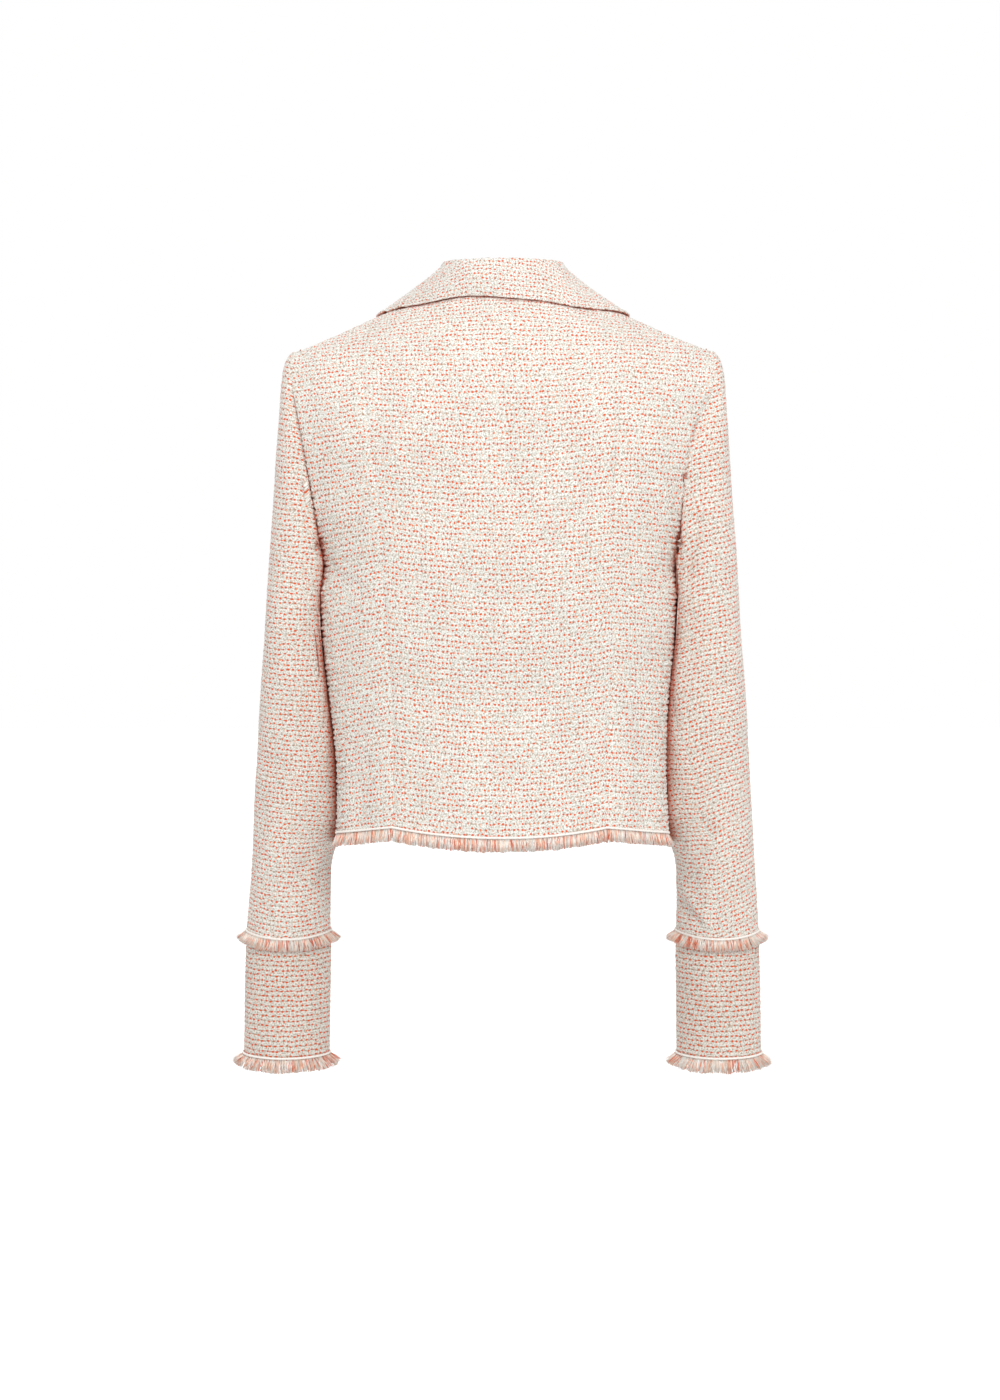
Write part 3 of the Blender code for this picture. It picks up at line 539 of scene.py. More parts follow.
def overlap_step(side, x):
    near = 1 - smoothstep(STEP_FULL, STEP_FROM, x * side)
    return -side * OVERLAP_STEP * near


def centre_surface(columns):
    left_x, z_left = back_seam_edge(1)
    right_x, z_right = back_seam_edge(-1)
    a = np.linspace(-1, 1, columns)[None, :]
    x = np.where(a > 0, a * left_x[:, None], a * right_x[:, None])
    top = np.maximum(ridge(x[:1]) - NECK_Z, 0)
    hem = ridge(x[-1:]) - lerp(HEM_CENTRE_Z, HEM_SEAM_Z, a * a)
    edge_drop = lerp(ridge(right_x) - z_right, ridge(left_x) - z_left, 0.5)[:, None]
    drop = lerp(top, hem, (edge_drop - edge_drop[0]) / (edge_drop[-1] - edge_drop[0]))
    z = ridge(x) - drop
    y = np.where(x > 0, body_y("back", 1, x, z), body_y("back", -1, x, z))
    return stack(x, y, z)


def side_surface(face, side, columns, inner_x, inner_z):
    """The panel from an inner edge to the armhole and the side seam."""
    outer_z = down_rows(ARM_TOP_Z, UNDERARM_Z, HEM_SIDE_Z)
    outer_x = side_edge(side, outer_z)
    ends = [lean(x / half_width(face, side, z)) for x, z in ((inner_x, inner_z), (outer_x, outer_z))]
    ends[1] = np.where(outer_z > UNDERARM_Z + TOLERANCE, ends[1], 1.0)
    a = np.linspace(0, 1, columns)[None, :]
    way = lerp(ends[0][:, None], ends[1][:, None], a)
    drop = lerp((ridge(inner_x) - inner_z)[:, None], (ridge(outer_x) - outer_z)[:, None], a)
    drop[0] = 0
    level = lerp(inner_z[:, None], outer_z[:, None], a)
    steady = smoothstep(STEADY_FROM, 1.0, np.linspace(0, 1, len(inner_z)))[:, None]
    x = np.zeros_like(way)
    for _ in range(SETTLE_STEPS):
        z = lerp(ridge(x) - drop, level, steady)
        x = side * half_width(face, side, z) * np.sin(way * np.pi / 2)
    z = lerp(ridge(x) - drop, level, steady)
    points = stack(x, body_y(face, side, x, z), z)
    if face == "front":
        return points
    return points + facing_out(points) * side_fullness(way, z)[..., None]


def front_surface(side, columns):
    z = down_rows(float(ridge(NECK_HALF)), BREAK_Z, HEM_CENTRE_Z)
    points = side_surface("front", side, columns, break_line_x(z), z)
    return points + facing_out(points) * overlap_step(side, points[..., 0])[..., None]


# ---- sleeves and cuffs
def sleeve_surface(side, top, columns):
    """The top sleeve, or the one under it, between its two seams."""
    ring = np.linspace(0, len(SLEEVE["depth"]) - 1, FINE_ROWS)
    back, front = between(SLEEVE_SEAMS, ("back", "front"), ring)
    angle = lerp(*((front - 360, back) if top else (back, front)), np.linspace(0, 1, columns)[None, :])
    corner = 1 + bump(CORNER, angle, window(CORNER_RINGS, ring)[:, None])
    along, around = np.cos(np.radians(angle)), np.sin(np.radians(angle))
    outer_x, outer_z, inner_x, inner_z, depth, forward, toe, dip, cling = between(
        SLEEVE, ("outer_x", "outer_z", side, "inner_z", "depth", "forward", "toe", "dip", "cling"), ring)
    inner_x = inner_x - bump(TUCK, inner_z)
    half = (outer_x - inner_x) / 2
    turn = toe * depth
    x = (outer_x + inner_x) / 2 + (np.sqrt(half ** 2 - turn ** 2) * along + turn * around) * corner
    z = lerp(inner_z, outer_z, (1 + along) / 2)
    arm_z = lerp(UNDERARM_Z, ARM_TOP_Z, (1 + along) / 2)
    arm_line = lerp(inner_x[0], outer_x[0], (1 + along) / 2)
    x = x + cling * (read(ARMHOLE, side, arm_z) - arm_line)
    turned = np.abs((angle + 180) % 360 - 180)
    near_seam = clamp(1 - ring)[:, None]
    x = x + near_seam * lerp(SEAM, SEAM_LOW, smoothstep(*SEAM_TURN, turned))
    y = depth * around * corner - forward
    z = z - dip * clamp(around) ** 2
    pulled = x - bump(PULL, turned, window(PULL_RINGS, ring)[:, None])
    clear = lerp(*PULL_CLEAR, smoothstep(*PULL_FRONT, -y))
    clear = lerp(SEAM_LOW, clear, smoothstep(*CLEAR_RINGS, ring)[:, None])
    x = np.maximum(pulled, np.minimum(x, body_side(side, y, z) + clear))
    return stack(side * x, y, z)


def cuff_surface(side, columns):
    """The whole cuff, its own seam at the front."""
    row = np.linspace(0, len(CUFF["z"]) - 1, FINE_ROWS)
    angle = np.radians(np.linspace(-90, 270, columns))[None, :]
    outer_x, inner_x, z, depth, forward, dip = between(
        CUFF, ("outer_x", side, "z", "depth", "forward", "dip"), row)
    x = lerp(inner_x, outer_x, (1 + np.cos(angle)) / 2)
    y = depth * np.sin(angle) - forward
    z = z - dip * clamp(np.sin(angle)) ** 2
    return stack(side * x, y, z)


# ---- collar and lapels
def collar_line(name, axes, way):
    """A line of the collar round half the neck, smooth through the middle of the back."""
    ways = np.insert(COLLAR["way"], 0, -COLLAR["way"][1])
    point = []
    for axis in axes:
        values = COLLAR[f"{name}_{axis}"]
        mirrored = -values[1] if axis == "x" else values[1]
        point.append(curve(ways, np.insert(values, 0, mirrored), way))
    return stack(*point)


def clear_of_body(points, side):
    x, y, z = np.moveaxis(points, -1, 0)
    at_front = stack(x, np.minimum(y, body_y("front", side, x, z) - FALL_LIFT), z)
    above = stack(x, y, np.maximum(z, body_height(x, y, side) + FALL_LIFT))
    return np.where((y < FALL_FRONT_Y)[..., None], at_front, above)


def collar_half(side, way):
    """The middle layer of half the collar: rows up the stand, over the fold and down the fall."""
    seam, fold, middle = (collar_line(name, "xyz", way) for name in ("seam", "fold", "middle"))
    edge = collar_line("edge", "xy", way)
    edge[:, 1] -= side * COLLAR_LEAN * np.sin(np.pi * np.minimum(way / COLLAR_LEAN_TO, 1))
    edge = stack(*edge.T, body_height(*edge.T, side) + EDGE_LIFT)
    out = unit((edge - seam) * [1, 1, 0])
    down = np.array([0, 0, -COLLAR_BEND_DROP])
    before, after = fold - out * COLLAR_BEND + down, fold + out * COLLAR_BEND + down
    top = 2 * fold - (before + after) / 2
    rows = [lerp(seam, before, t) for t in np.linspace(0, 1, STAND_ROWS)]
    for t in np.linspace(0, 1, BEND_ROWS)[1:]:
        rows.append((1 - t) ** 2 * before + 2 * t * (1 - t) * top + t * t * after)
    sharp = smoothstep(COLLAR_SHARP_FROM, 1.0, way)[:, None]
    for t in np.linspace(0, 1, FALL_ROWS)[FALL_START:]:
        soft = 2 * (t - 0.5) * (t - 1) * fold - 4 * t * (t - 1) * middle + 2 * t * (t - 0.5) * edge
        straight = lerp(fold, middle, 2 * t) if t <= 0.5 else lerp(middle, edge, 2 * t - 1)
        rows.append(clear_of_body(lerp(soft, straight, sharp), side))
    return np.stack(rows)


def collar_surface(columns):
    way = np.linspace(0, 1, columns // 2 + 1)
    right = collar_half(-1, way[1:]) * [-1, 1, 1]
    points = np.concatenate([right[:, ::-1], collar_half(1, way)], axis=1)
    for _ in range(COLLAR_SMOOTHING):
        points[1:-1] = (points[:-2] + 2 * points[1:-1] + points[2:]) / 4
    return points + collar_facing(points) * WALL / 2


def collar_facing(points):
    """The side that shows: the neck side of the stand and the outside of the fall."""
    return -grid_normals(points)


def lapel_surface(side, columns):
    share = np.linspace(1, 0, FINE_ROWS)
    foot = np.array([break_line_x(BREAK_Z), LAPEL_FOOT_Z])
    z = lerp(LAPEL_FOOT_Z, LAPEL_TOP_Z, share)
    fold_x = break_line_x(z) + LAPEL_INSET
    if side > 0:
        fold_x = np.maximum(fold_x, -break_line_x(z) + LAPEL_CROSS)
    start = stack(fold_x, z)
    tip = lerp(foot, np.array(LAPEL_TIP), share[:, None])
    tip[:, 0] = np.maximum(tip[:, 0] + LAPEL_BULGE * 4 * share * (1 - share), fold_x + LAPEL_LEAST)
    near_notch = smoothstep(NOTCH_FROM, 1.0, share)[:, None]
    notch = lerp(lerp(start, tip, NOTCH_SHARE), np.array(NOTCH), near_notch)
    a = np.linspace(0, 1, columns)[None, :, None]
    inner = lerp(start[:, None], notch[:, None], np.minimum(2 * a, 1))
    flat = inner + (tip - notch)[:, None] * np.maximum(2 * a - 1, 0)
    x, z = flat[..., 0] * side, flat[..., 1]
    points = stack(x, body_y("front", side, x, z), z)
    return points + facing_out(points) * (overlap_step(side, x) + LAY + WALL)[..., None]


# ---- woven sheets
def grid_normals(grid):
    return unit(np.cross(np.gradient(grid, axis=0), np.gradient(grid, axis=1)))


def facing_out(grid):
    """Unit normals that point away from the middle of the grid's own hollow."""
    normals = grid_normals(grid)
    centre = grid.reshape(-1, 3).mean(axis=0)
    return normals if dot(normals, grid - centre).sum() > 0 else -normals


def fold_height(group, points, facing):
    """How far the folds of a group, and the cloth's slow waves, move each point out."""
    height = WAVE_HEIGHT * noise(points, WAVE_LENGTH, 5)
    height += WAVE_HEIGHT / 2 * noise(points, WAVE_LENGTH / 2, 6)
    flat = points[..., [0, 2]]
    for face, folds in FOLDS.get(group, {}).items():
        seen = smoothstep(*FOLD_SEEN, face * facing[..., 1])
        for x0, z0, x1, z1, width, depth in folds:
            start, run = np.array([x0, z0]), np.array([x1 - x0, z1 - z0])
            share = clamp((flat - start) @ run / (run @ run))
            gap = np.linalg.norm(flat - start - share[..., None] * run, axis=-1)
            height += depth * np.exp(-(gap / width) ** 2 * 2) * seen
    return height


def lay_ribs(points, facing, rib, climb, tilt):
    """Rows of points along the ribs, lowest first, RIB_STEPS to a rib.

    Climb is the distance up each column. A column's rows past its ends stay on the ends, and are
    one vertex each."""
    tilt = tilt - RIB_START * rib
    step = rib / RIB_STEPS
    first, last = np.floor((climb[0] - tilt).min() / step), np.ceil((climb[-1] - tilt).max() / step)
    wanted = np.arange(first, last + 1)[:, None] * step + tilt
    level = np.clip(wanted, climb[0], climb[-1])
    channels = np.concatenate([points, facing], axis=-1)
    laid = np.empty((*level.shape, 6))
    for i, k in np.ndindex(points.shape[1], 6):
        laid[:, i, k] = np.interp(level[:, i], climb[:, i], channels[:, i, k])
    lowest = np.sum(wanted <= climb[0], axis=0) - 1
    highest = len(level) - np.sum(wanted >= climb[-1], axis=0)
    kept = np.clip(np.arange(len(level))[:, None], np.maximum(lowest, 0), highest)
    vertex = kept * points.shape[1] + np.arange(points.shape[1])
    return laid[..., :3], unit(laid[..., 3:]), (level - tilt) / rib, level, vertex


def add_strips(sheet, axis, kinds, aways, size):
    """Strips past the sheet's first and last row or column, as the kinds of its edges say."""
    count = "up" if axis == 0 else "across"
    for last, (kind, away) in enumerate(zip(kinds, aways)):
        line = {name: np.take(values, -last, axis=axis) for name, values in sheet.items()}
        edge, facing, counted = line["point"], line["facing"], line[count]
        away = unit(away - facing * dot(away, facing)[..., None])
        _, same = np.unique(line["vertex"], return_inverse=True)
        run, before = 0.0, (0.0, 0.0)
        for out, down in EDGES[kind]:
            run += np.hypot(out - before[0], down - before[1])
            before = out, down
            line["point"] = edge + away * out - facing * down
            line["vertex"] = sheet["vertex"].max() + 1 + same.reshape(-1)
            line[count] = counted + (run if last else -run) / size
            for name, values in line.items():
                parts = [sheet[name], np.expand_dims(values, axis)]
                sheet[name] = np.concatenate(parts if last else parts[::-1], axis=axis)


def relief(sheet, kinds, level, seed):
    """Ribs, loops and the dips at seams, as a height at each point."""
    across, up = sheet["across"], sheet["up"]
    place = stack(across, np.floor(up + TOLERANCE) * RIB_APART)
    height = RIB_HEIGHT * np.abs(np.sin(np.pi * up)) * (1 + RIB_UNEVEN * noise(place, 1.0, seed))
    loop = stack(np.round(across * 2), np.round(up * RIB_STEPS))
    height += LOOP_HEIGHT * scramble(loop, seed)
    gaps = {"bottom": level - level.min(axis=0), "top": level.max(axis=0) - level,
            "first": (across - across[:, :1]) * LOOP, "last": (across[:, -1:] - across) * LOOP}
    for edge, gap in gaps.items():
        if kinds[edge] not in ("armhole", "tucked"):
            keep = EDGE_LOOPED if kinds[edge] == "looped" else EDGE_KEEP
            height *= lerp(keep, 1, smoothstep(0, EDGE_FLAT, np.abs(gap)))
    x, y, z = np.moveaxis(sheet["point"], -1, 0)
    low = smoothstep(*PRESSED_DOWN, -z)
    if kinds["last"] == "armhole":
        height *= 1 + BUMP_MORE * low * smoothstep(*BUMP_FACING, -np.abs(sheet["facing"][..., 1]))
    if kinds["top"] == "tucked":
        at_back = smoothstep(*CREASE_FROM, x) * smoothstep(*CREASE_FROM, y)
        height -= bump(CREASE, gaps["top"], window(CREASE_DOWN, -z) * at_back)
    shown = lerp(PRESSED_LEAST, 1, low)
    shares = {"seam": 1, "pressed": shown, "armhole": shown / 2, "tucked": shown / 2, "soft": SOFT_DIP}
    for edge, gap in gaps.items():
        height -= bump(SEAM_DIP, gap) * shares.get(kinds[edge], 0)
    return height


def grid_faces(vertex):
    """Four-sided faces between neighbours, three-sided where two corners are one vertex."""
    quads = stack(vertex[:-1, :-1], vertex[:-1, 1:], vertex[1:, 1:], vertex[1:, :-1]).reshape(-1, 4)
    same = quads == np.roll(quads, -1, axis=1)
    faces = quads[same.sum(axis=1) == 0].tolist()
    for k in range(4):
        one = quads[same[:, k] & (same.sum(axis=1) == 1)]
        faces += np.delete(one, k, axis=1).tolist()
    return faces


def add_object(name, data):
    item = bpy.data.objects.new(name, data)
    bpy.context.scene.collection.objects.link(item)
    return item


def write_mesh(name, points, faces, maps, material):
    """A mesh object in metres, with named UV maps of one pair for each vertex."""
    mesh = bpy.data.meshes.new(name)
    mesh.from_pydata((points * MM).tolist(), [], faces)
    corner = np.empty(len(mesh.loops), int)
    mesh.loops.foreach_get("vertex_index", corner)
    for title, pairs in maps.items():
        mesh.uv_layers.new(name=title).data.foreach_set("uv", pairs[corner].astype(np.float32).ravel())
    mesh.materials.append(material)
    mesh.shade_smooth()
    return add_object(name, mesh)


def place(piece, slot, *nodes):
    """Ride on the one body and stand for nodes; the slot is not used."""
    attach(piece, "root")
    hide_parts(*nodes)
    return piece


def sink(surface, kinds):
    """How far the sheet lies under the model's surface."""
    depth = np.full(surface.shape[:2], SINK)
    for edge, axis, last in (("top", 0, False), ("last", 1, True)):
        if kinds[edge] in ("armhole", "tucked"):
            gap = run_along(surface, axis)
            gap = np.take(gap, [-1], axis=axis) - gap if last else gap
            depth *= smoothstep(0, SINK_FROM, gap)
    return depth


def cloth(node, surface, material, slot, kinds, group=None, rib=BODY_RIB, facing=facing_out,
          climb=run_along, tilt=0, reference=0.5, closed=False, more_nodes=()):
    """One tweed piece. Kinds names its edges at the top, bottom, first and last column.
"""
    seed = sum(ord(letter) * (k + 3) for k, letter in enumerate(node))
    kinds = dict(zip(("top", "bottom", "first", "last"), kinds.split()))
    out = facing(surface)
    surface = surface + out * (fold_height(group, surface, out) - sink(surface, kinds))[..., None]
    if closed:
        surface[:, -1] = surface[:, 0]
    normals = facing(surface)
    if closed:
        normals[:, 0] = normals[:, -1] = unit(normals[:, 0] + normals[:, -1])
    points = surface[::-1]
    laid, facing_laid, up, level, vertex = lay_ribs(points, normals[::-1], rib, climb(points), tilt)
    level_run = run_along(laid * [1, 1, 0 if group else 1], 1)
    plan = run_along(laid * [1, ROUND_SHARE, 0], 1) if group else level_run
    middle = int(reference * (laid.shape[1] - 1))
    across = (plan - plan[:, middle:middle + 1]) / LOOP
    sheet = {"point": laid, "facing": facing_laid, "across": across, "up": up, "vertex": vertex}
    height = relief(sheet, kinds, level, seed)
    if closed:
        height[:, -1] = height[:, 0]
    sheet["point"] = laid + facing_laid * height[..., None]
    row_aways = points[0] - points[1], points[-1] - points[-2]
    add_strips(sheet, 0, (kinds["bottom"], kinds["top"]), row_aways, rib)
    smooth = sheet["point"]
    column_aways = smooth[:, 0] - smooth[:, 2], smooth[:, -1] - smooth[:, -3]
    add_strips(sheet, 1, (kinds["first"], kinds["last"]), column_aways, LOOP)

    rows, columns = sheet["vertex"].shape
    used, first = np.unique(sheet["vertex"], return_index=True)
    faces = grid_faces(np.searchsorted(used, sheet["vertex"]))
    flat_points = sheet["point"].reshape(-1, 3)[first]
    weave = stack(sheet["across"], sheet["up"]).reshape(-1, 2)[first] + seed % WEAVE_STARTS
    bake = stack(first % columns / (columns - 1), first // columns / (rows - 1))
    corner, near, far = faces[len(faces) // 2][:3]
    turn = np.cross(flat_points[near] - flat_points[corner], flat_points[far] - flat_points[corner])
    if turn @ sheet["facing"].reshape(-1, 3)[first][corner] < 0:
        faces = [face[::-1] for face in faces]
    piece = write_mesh(f"cloth_{node}", flat_points, faces, {"OFBake": bake, "weave": weave}, material)
    place(piece, slot, node, *more_nodes)
    size = (float(level_run[:, -1].max()) * MM, float(run_along(points)[-1].max()) * MM)
    sides = np.cross(np.diff(points, axis=0)[:, :-1], np.diff(points, axis=1)[:-1])
    area = float(np.linalg.norm(sides, axis=-1).sum()) * MM * MM
    return {"piece": piece, "edge": points[0], "size": size, "area": area}


def declare(made, trims=()):
    width, length = made["size"]
    area = min(made["area"], width * length)
    print(f"{made['piece'].name}: flat {width:.3f} x {length:.3f} m, area {area:.4f} m2")


# ---- yarn trims
def even_path(path, step, closed):
    """The same line with even steps, its level outward directions and its length."""
    if closed:
        path = np.concatenate([path, path[:1]])
    run = run_along(path[:, None])[:, 0]
    at = np.linspace(0, run[-1], max(int(run[-1] / step), CORD_LEAST) + 1)
    line = stack(*(np.interp(at, run, path[:, k]) for k in range(3)))
    if closed:
        along = unit(np.roll(line[:-1], -1, axis=0) - np.roll(line[:-1], 1, axis=0))
        along = np.concatenate([along, along[:1]])
    else:
        along = unit(np.gradient(line, axis=0))
    out = unit(stack(along[:, 1], -along[:, 0], 0 * along[:, 2]))
    if dot(out, line - line.mean(axis=0)).sum() < 0:
        out = -out
    return line, along, out, run[-1]


def tube_faces(rings, sides, closed=False):
    """Four-sided faces from each ring of vertices to the next, and from the last to the first."""
    ring, k = (grid.ravel() for grid in np.indices((rings - (not closed), sides)))
    a, b, n = ring * sides, (ring + 1) % rings * sides, (k + 1) % sides
    return stack(a + k, a + n, b + n, b + k)


def fix_winding(piece):
    """Turn a closed piece's faces out."""
    shell = bmesh.new()
    shell.from_mesh(piece.data)
    bmesh.ops.recalc_face_normals(shell, faces=shell.faces[:])
    shell.to_mesh(piece.data)
    shell.free()
    return piece


def cord(node, path, material, closed):
    """A two-ply cord along an edge."""
    line, _, out, length = even_path(path, CORD_STEP, closed)
    turn = np.linspace(0, 1, len(line)) * round(length / CORD_TWIST) * np.pi
    angle = np.arange(CORD_SIDES) * 2 * np.pi / CORD_SIDES
    ply = 1 + CORD_PLY * np.cos(2 * (angle[None, :] - turn[:, None]))
    up = np.array([0, 0, 1.0])
    centre = line + out * CORD_OUT + up * CORD_LIFT
    rings = (centre[:, None] + out[:, None] * (ply * np.cos(angle) * CORD_DEEP / 2)[..., None]
             + up * (ply * np.sin(angle) * CORD_WIDE / 2)[..., None])
    count = len(line) - closed
    faces = tube_faces(count, CORD_SIDES, closed).tolist()
    if not closed:
        ends = np.arange(count * CORD_SIDES).reshape(count, CORD_SIDES)
        faces += [ends[0, ::-1].tolist(), ends[-1].tolist()]
    yarn = stack(np.repeat(np.arange(count) * CORD_STEP, CORD_SIDES), np.tile(angle, count))
    piece = write_mesh(f"yarn_{node}", rings[:count].reshape(-1, 3), faces, {"yarn": yarn}, material)
    return place(fix_winding(piece), "braid", node)


def fringe(node, path, cut, start, material, closed, seed):
    """Strands of cut yarn, gathered in small tufts and standing a little out."""
    rng = np.random.default_rng(seed)
    line, along, out, length = even_path(path, 1.0, closed)
    count = int(length * STRANDS_TO_MM)
    at = np.sort(rng.random(count)) * (len(line) - 1)
    low = np.minimum(at.astype(int), len(line) - 2)
    part = (at - low)[:, None]
    root, side, away = (lerp(grid[low], grid[low + 1], part) for grid in (line, along, out))
    in_tufts = at * length / (len(line) - 1) / TUFT
    tuft = in_tufts.astype(int)
    tufts = tuft.max() + 1
    slant = rng.normal(0, TUFT_LEAN, tufts)[tuft] + rng.normal(0, STRAND_LEAN, count)
    pinch = (in_tufts - tuft - 0.5) * TUFT
    share, at_back, at_sides, spread = cut
    size = share * rng.uniform(*STRAND_LONG, count) * (1 + rng.normal(0, TUFT_LONG, tufts)[tuft])
    layer = rng.random(count)
    stand = lerp(at_back, at_sides, away[:, 0] ** 2) + spread * (
        rng.normal(0, STRAND_STAND, count) + rng.normal(0, TUFT_STAND, tufts)[tuft])
    stand = np.radians(np.clip(stand, 0, FLARE_MOST))
    bow = rng.normal(0, STRAND_BOW, count)
    spin = np.pi / 2 + rng.uniform(-STRAND_SPIN, STRAND_SPIN, count)
    down = np.array([0, 0, -1.0])
    corners = []
    for t in np.linspace(0, 1, STRAND_STEPS + 1):
        middle = (root + away * (start + layer + size * t * np.sin(stand))[:, None]
                  + side * (slant * size * t - TUFT_PINCH * pinch * t + bow * np.sin(np.pi * t))[:, None]
                  + down * (size * t * np.cos(slant) * np.cos(stand) - STRAND_RAISE)[:, None])
        thin = lerp(1.0, STRAND_TIP, t ** 2)
        for corner in range(STRAND_SIDES):
            angle = corner * 2 * np.pi / STRAND_SIDES + spin
            corners.append(middle + side * (np.cos(angle) * STRAND_WIDE * thin)[:, None]
                           + away * (np.sin(angle) * STRAND_DEEP * thin)[:, None])
    base = np.arange(count)[:, None] * len(corners)
    tip = np.arange(len(corners))[-STRAND_SIDES:]
    faces = []
    for face in (*tube_faces(STRAND_STEPS + 1, STRAND_SIDES), tip, np.arange(STRAND_SIDES)[::-1]):
        faces += (base + face).tolist()
    colour = clamp(lerp(rng.random(tufts)[tuft], rng.random(count), STRAND_MIX))
    steps = np.repeat(np.arange(STRAND_STEPS + 1) / STRAND_STEPS, STRAND_SIDES)
    yarn = stack(np.repeat(colour, len(corners)), np.tile(steps, count))
    points = np.stack(corners, axis=1).reshape(-1, 3)
    piece = write_mesh(f"yarn_{node}", points, faces, {"yarn": yarn}, material)
    return place(fix_winding(piece), "fringe", node)


# ---- materials
def linear(red, green, blue):
    """A colour given as it looks on a screen, 0 to 255, as the shaders want it."""
    screen = np.array([red, green, blue]) / 255
    value = np.where(screen <= 0.04045, screen / 12.92, ((screen + 0.055) / 1.055) ** 2.4)
    return (*value.tolist(), 1.0)


class Value:
    """A socket of a node tree, to calculate with."""

    def __init__(self, nodes, socket):
        self.nodes, self.socket = nodes, socket

    def times(self, factor, more):
        """The value times a factor, and more added."""
        return self.nodes.math("MULTIPLY_ADD", self, factor, more)


def operator(operation):
    return lambda value, other: value.nodes.math(operation, value, other)


Value.__add__, Value.__sub__, Value.__mul__, Value.__truediv__ = map(
    operator, ("ADD", "SUBTRACT", "MULTIPLY", "DIVIDE"))


class Nodes:
    """A node tree and short ways to add to it."""

    def __init__(self, owner):
        owner.use_nodes = True
        self.tree = owner.node_tree

    def join(self, sockets, values):
        for name, value in dict(values).items():
            if isinstance(value, Value):
                self.tree.links.new(value.socket, sockets[name])
            else:
                sockets[name].default_value = value

    def outputs(self, kind, inputs=(), **settings):
        node = self.tree.nodes.new("ShaderNode" + kind)
        for name, value in settings.items():
            setattr(node, name, value)
        self.join(node.inputs, inputs)
        return [Value(self, socket) for socket in node.outputs]

    def node(self, kind, inputs=(), output=0, **settings):
        return self.outputs(kind, inputs, **settings)[output]

    def math(self, operation, *values):
        return self.node("Math", enumerate(values), operation=operation)

    def mix(self, share, a, b, how="MIX"):
        return self.node("Mix", {0: share, 6: a, 7: b}, 2, data_type="RGBA", blend_type=how)

    def ramp(self, value, low, high, to_low=0.0, to_high=1.0):
        return self.node("MapRange", {0: value, 1: low, 2: high, 3: to_low, 4: to_high},
                         interpolation_type="SMOOTHSTEP")

    def colours(self, value, colours, between):
        """The colours, each from its own value on."""
        node = self.tree.nodes.new("ShaderNodeValToRGB")
        node.color_ramp.interpolation = between
        elements = node.color_ramp.elements
        while len(elements) < len(colours):
            elements.new(0.5)
        for element, (start, colour) in zip(elements, colours):
            element.position = start
            element.color = colour
        self.join(node.inputs, {0: value})
        return Value(self, node.outputs[0])

    def noise(self, vector, scale, detail=1.0):
        return self.node("TexNoise", {"Vector": vector, "Scale": scale, "Detail": detail})

    def vector(self, x, y, z=0.0):
        return self.node("CombineXYZ", {0: x, 1: y, 2: z})

    def split(self, vector):
        return self.outputs("SeparateXYZ", {0: vector})

    def cells(self, x, y, seed):
        """Random numbers for each whole x and y: one, and three more."""
        value, colour = self.outputs("TexWhiteNoise", {"Vector": self.vector(x, y, seed)})
        return value, self.split(colour)


class Shader(Nodes):
    """One material."""

    def __init__(self, name, roughness, sheen, specular=0.25):
        self.material = bpy.data.materials.new(name)
        super().__init__(self.material)
        self.surface({"Roughness": roughness, "Sheen Weight": sheen, "Sheen Roughness": 0.5,
                      "Specular IOR Level": specular})

    def surface(self, inputs):
        self.join(self.tree.nodes["Principled BSDF"].inputs, inputs)

    def finish(self, colour, height, strength, distance):
        bump = self.node("Bump", {"Height": height, "Strength": strength, "Distance": distance})
        self.surface({"Base Color": colour, "Normal": bump})
        return self.material


CREAM = linear(244, 245, 240)
# SHADED_CREAM is partly the yarn's own beige and partly painted shade between the loops.
SHADED_CREAM = linear(178, 168, 150)
BROWN_PINK = linear(184, 134, 102)
SALMON = linear(236, 162, 122)
CORAL = linear(228, 90, 38)
# Painted shade: the dark brown of the line along the hollows between the ribs.
HOLLOW_SHADE = linear(166, 146, 122)
PAINTED_CREVICE_SHADE = linear(226, 132, 98)  # painted shade: a reddish darkening of the cloth in deep places, for their shade and the coral yarn's bounce light
PAINTED_SHADE_REACH = 0.015
PAINTED_SHADE_RAYS = 6
PAINTED_SHADE_OPEN = (0.62, 0.1)      # how open a place is where the painted shade starts, and where it is full
FRINGE_COLOURS = (
    (0.00, linear(255, 250, 242)), (0.42, linear(255, 232, 214)), (0.62, linear(250, 194, 164)),
    (0.80, linear(238, 116, 72)))


def dots(s, across, up, seed, wide, high):
    """Yarn showing between the loops: how much at each place, how strongly, and a random number."""
    row = s.math("FLOOR", up)
    slide, _ = s.cells(row, seed, 1.7)
    moved = across + slide * 0.5
    column = s.math("FLOOR", moved)
    chance, more = s.cells(column, row, seed)
    x = (moved - column - 0.5 + more[0].times(0.5, -0.25)) / more[2].times(0.13, wide)
    y = (up - row - 0.5 + more[1].times(0.34, -0.17)) / high
    run = s.noise(s.vector(across * 0.33, row * 0.5, seed), 1.0, 2.0)
    return s.ramp(x * x + y * y, 1.3, 0.5), chance * 0.8 + run.times(1.3, -0.65), more[1]


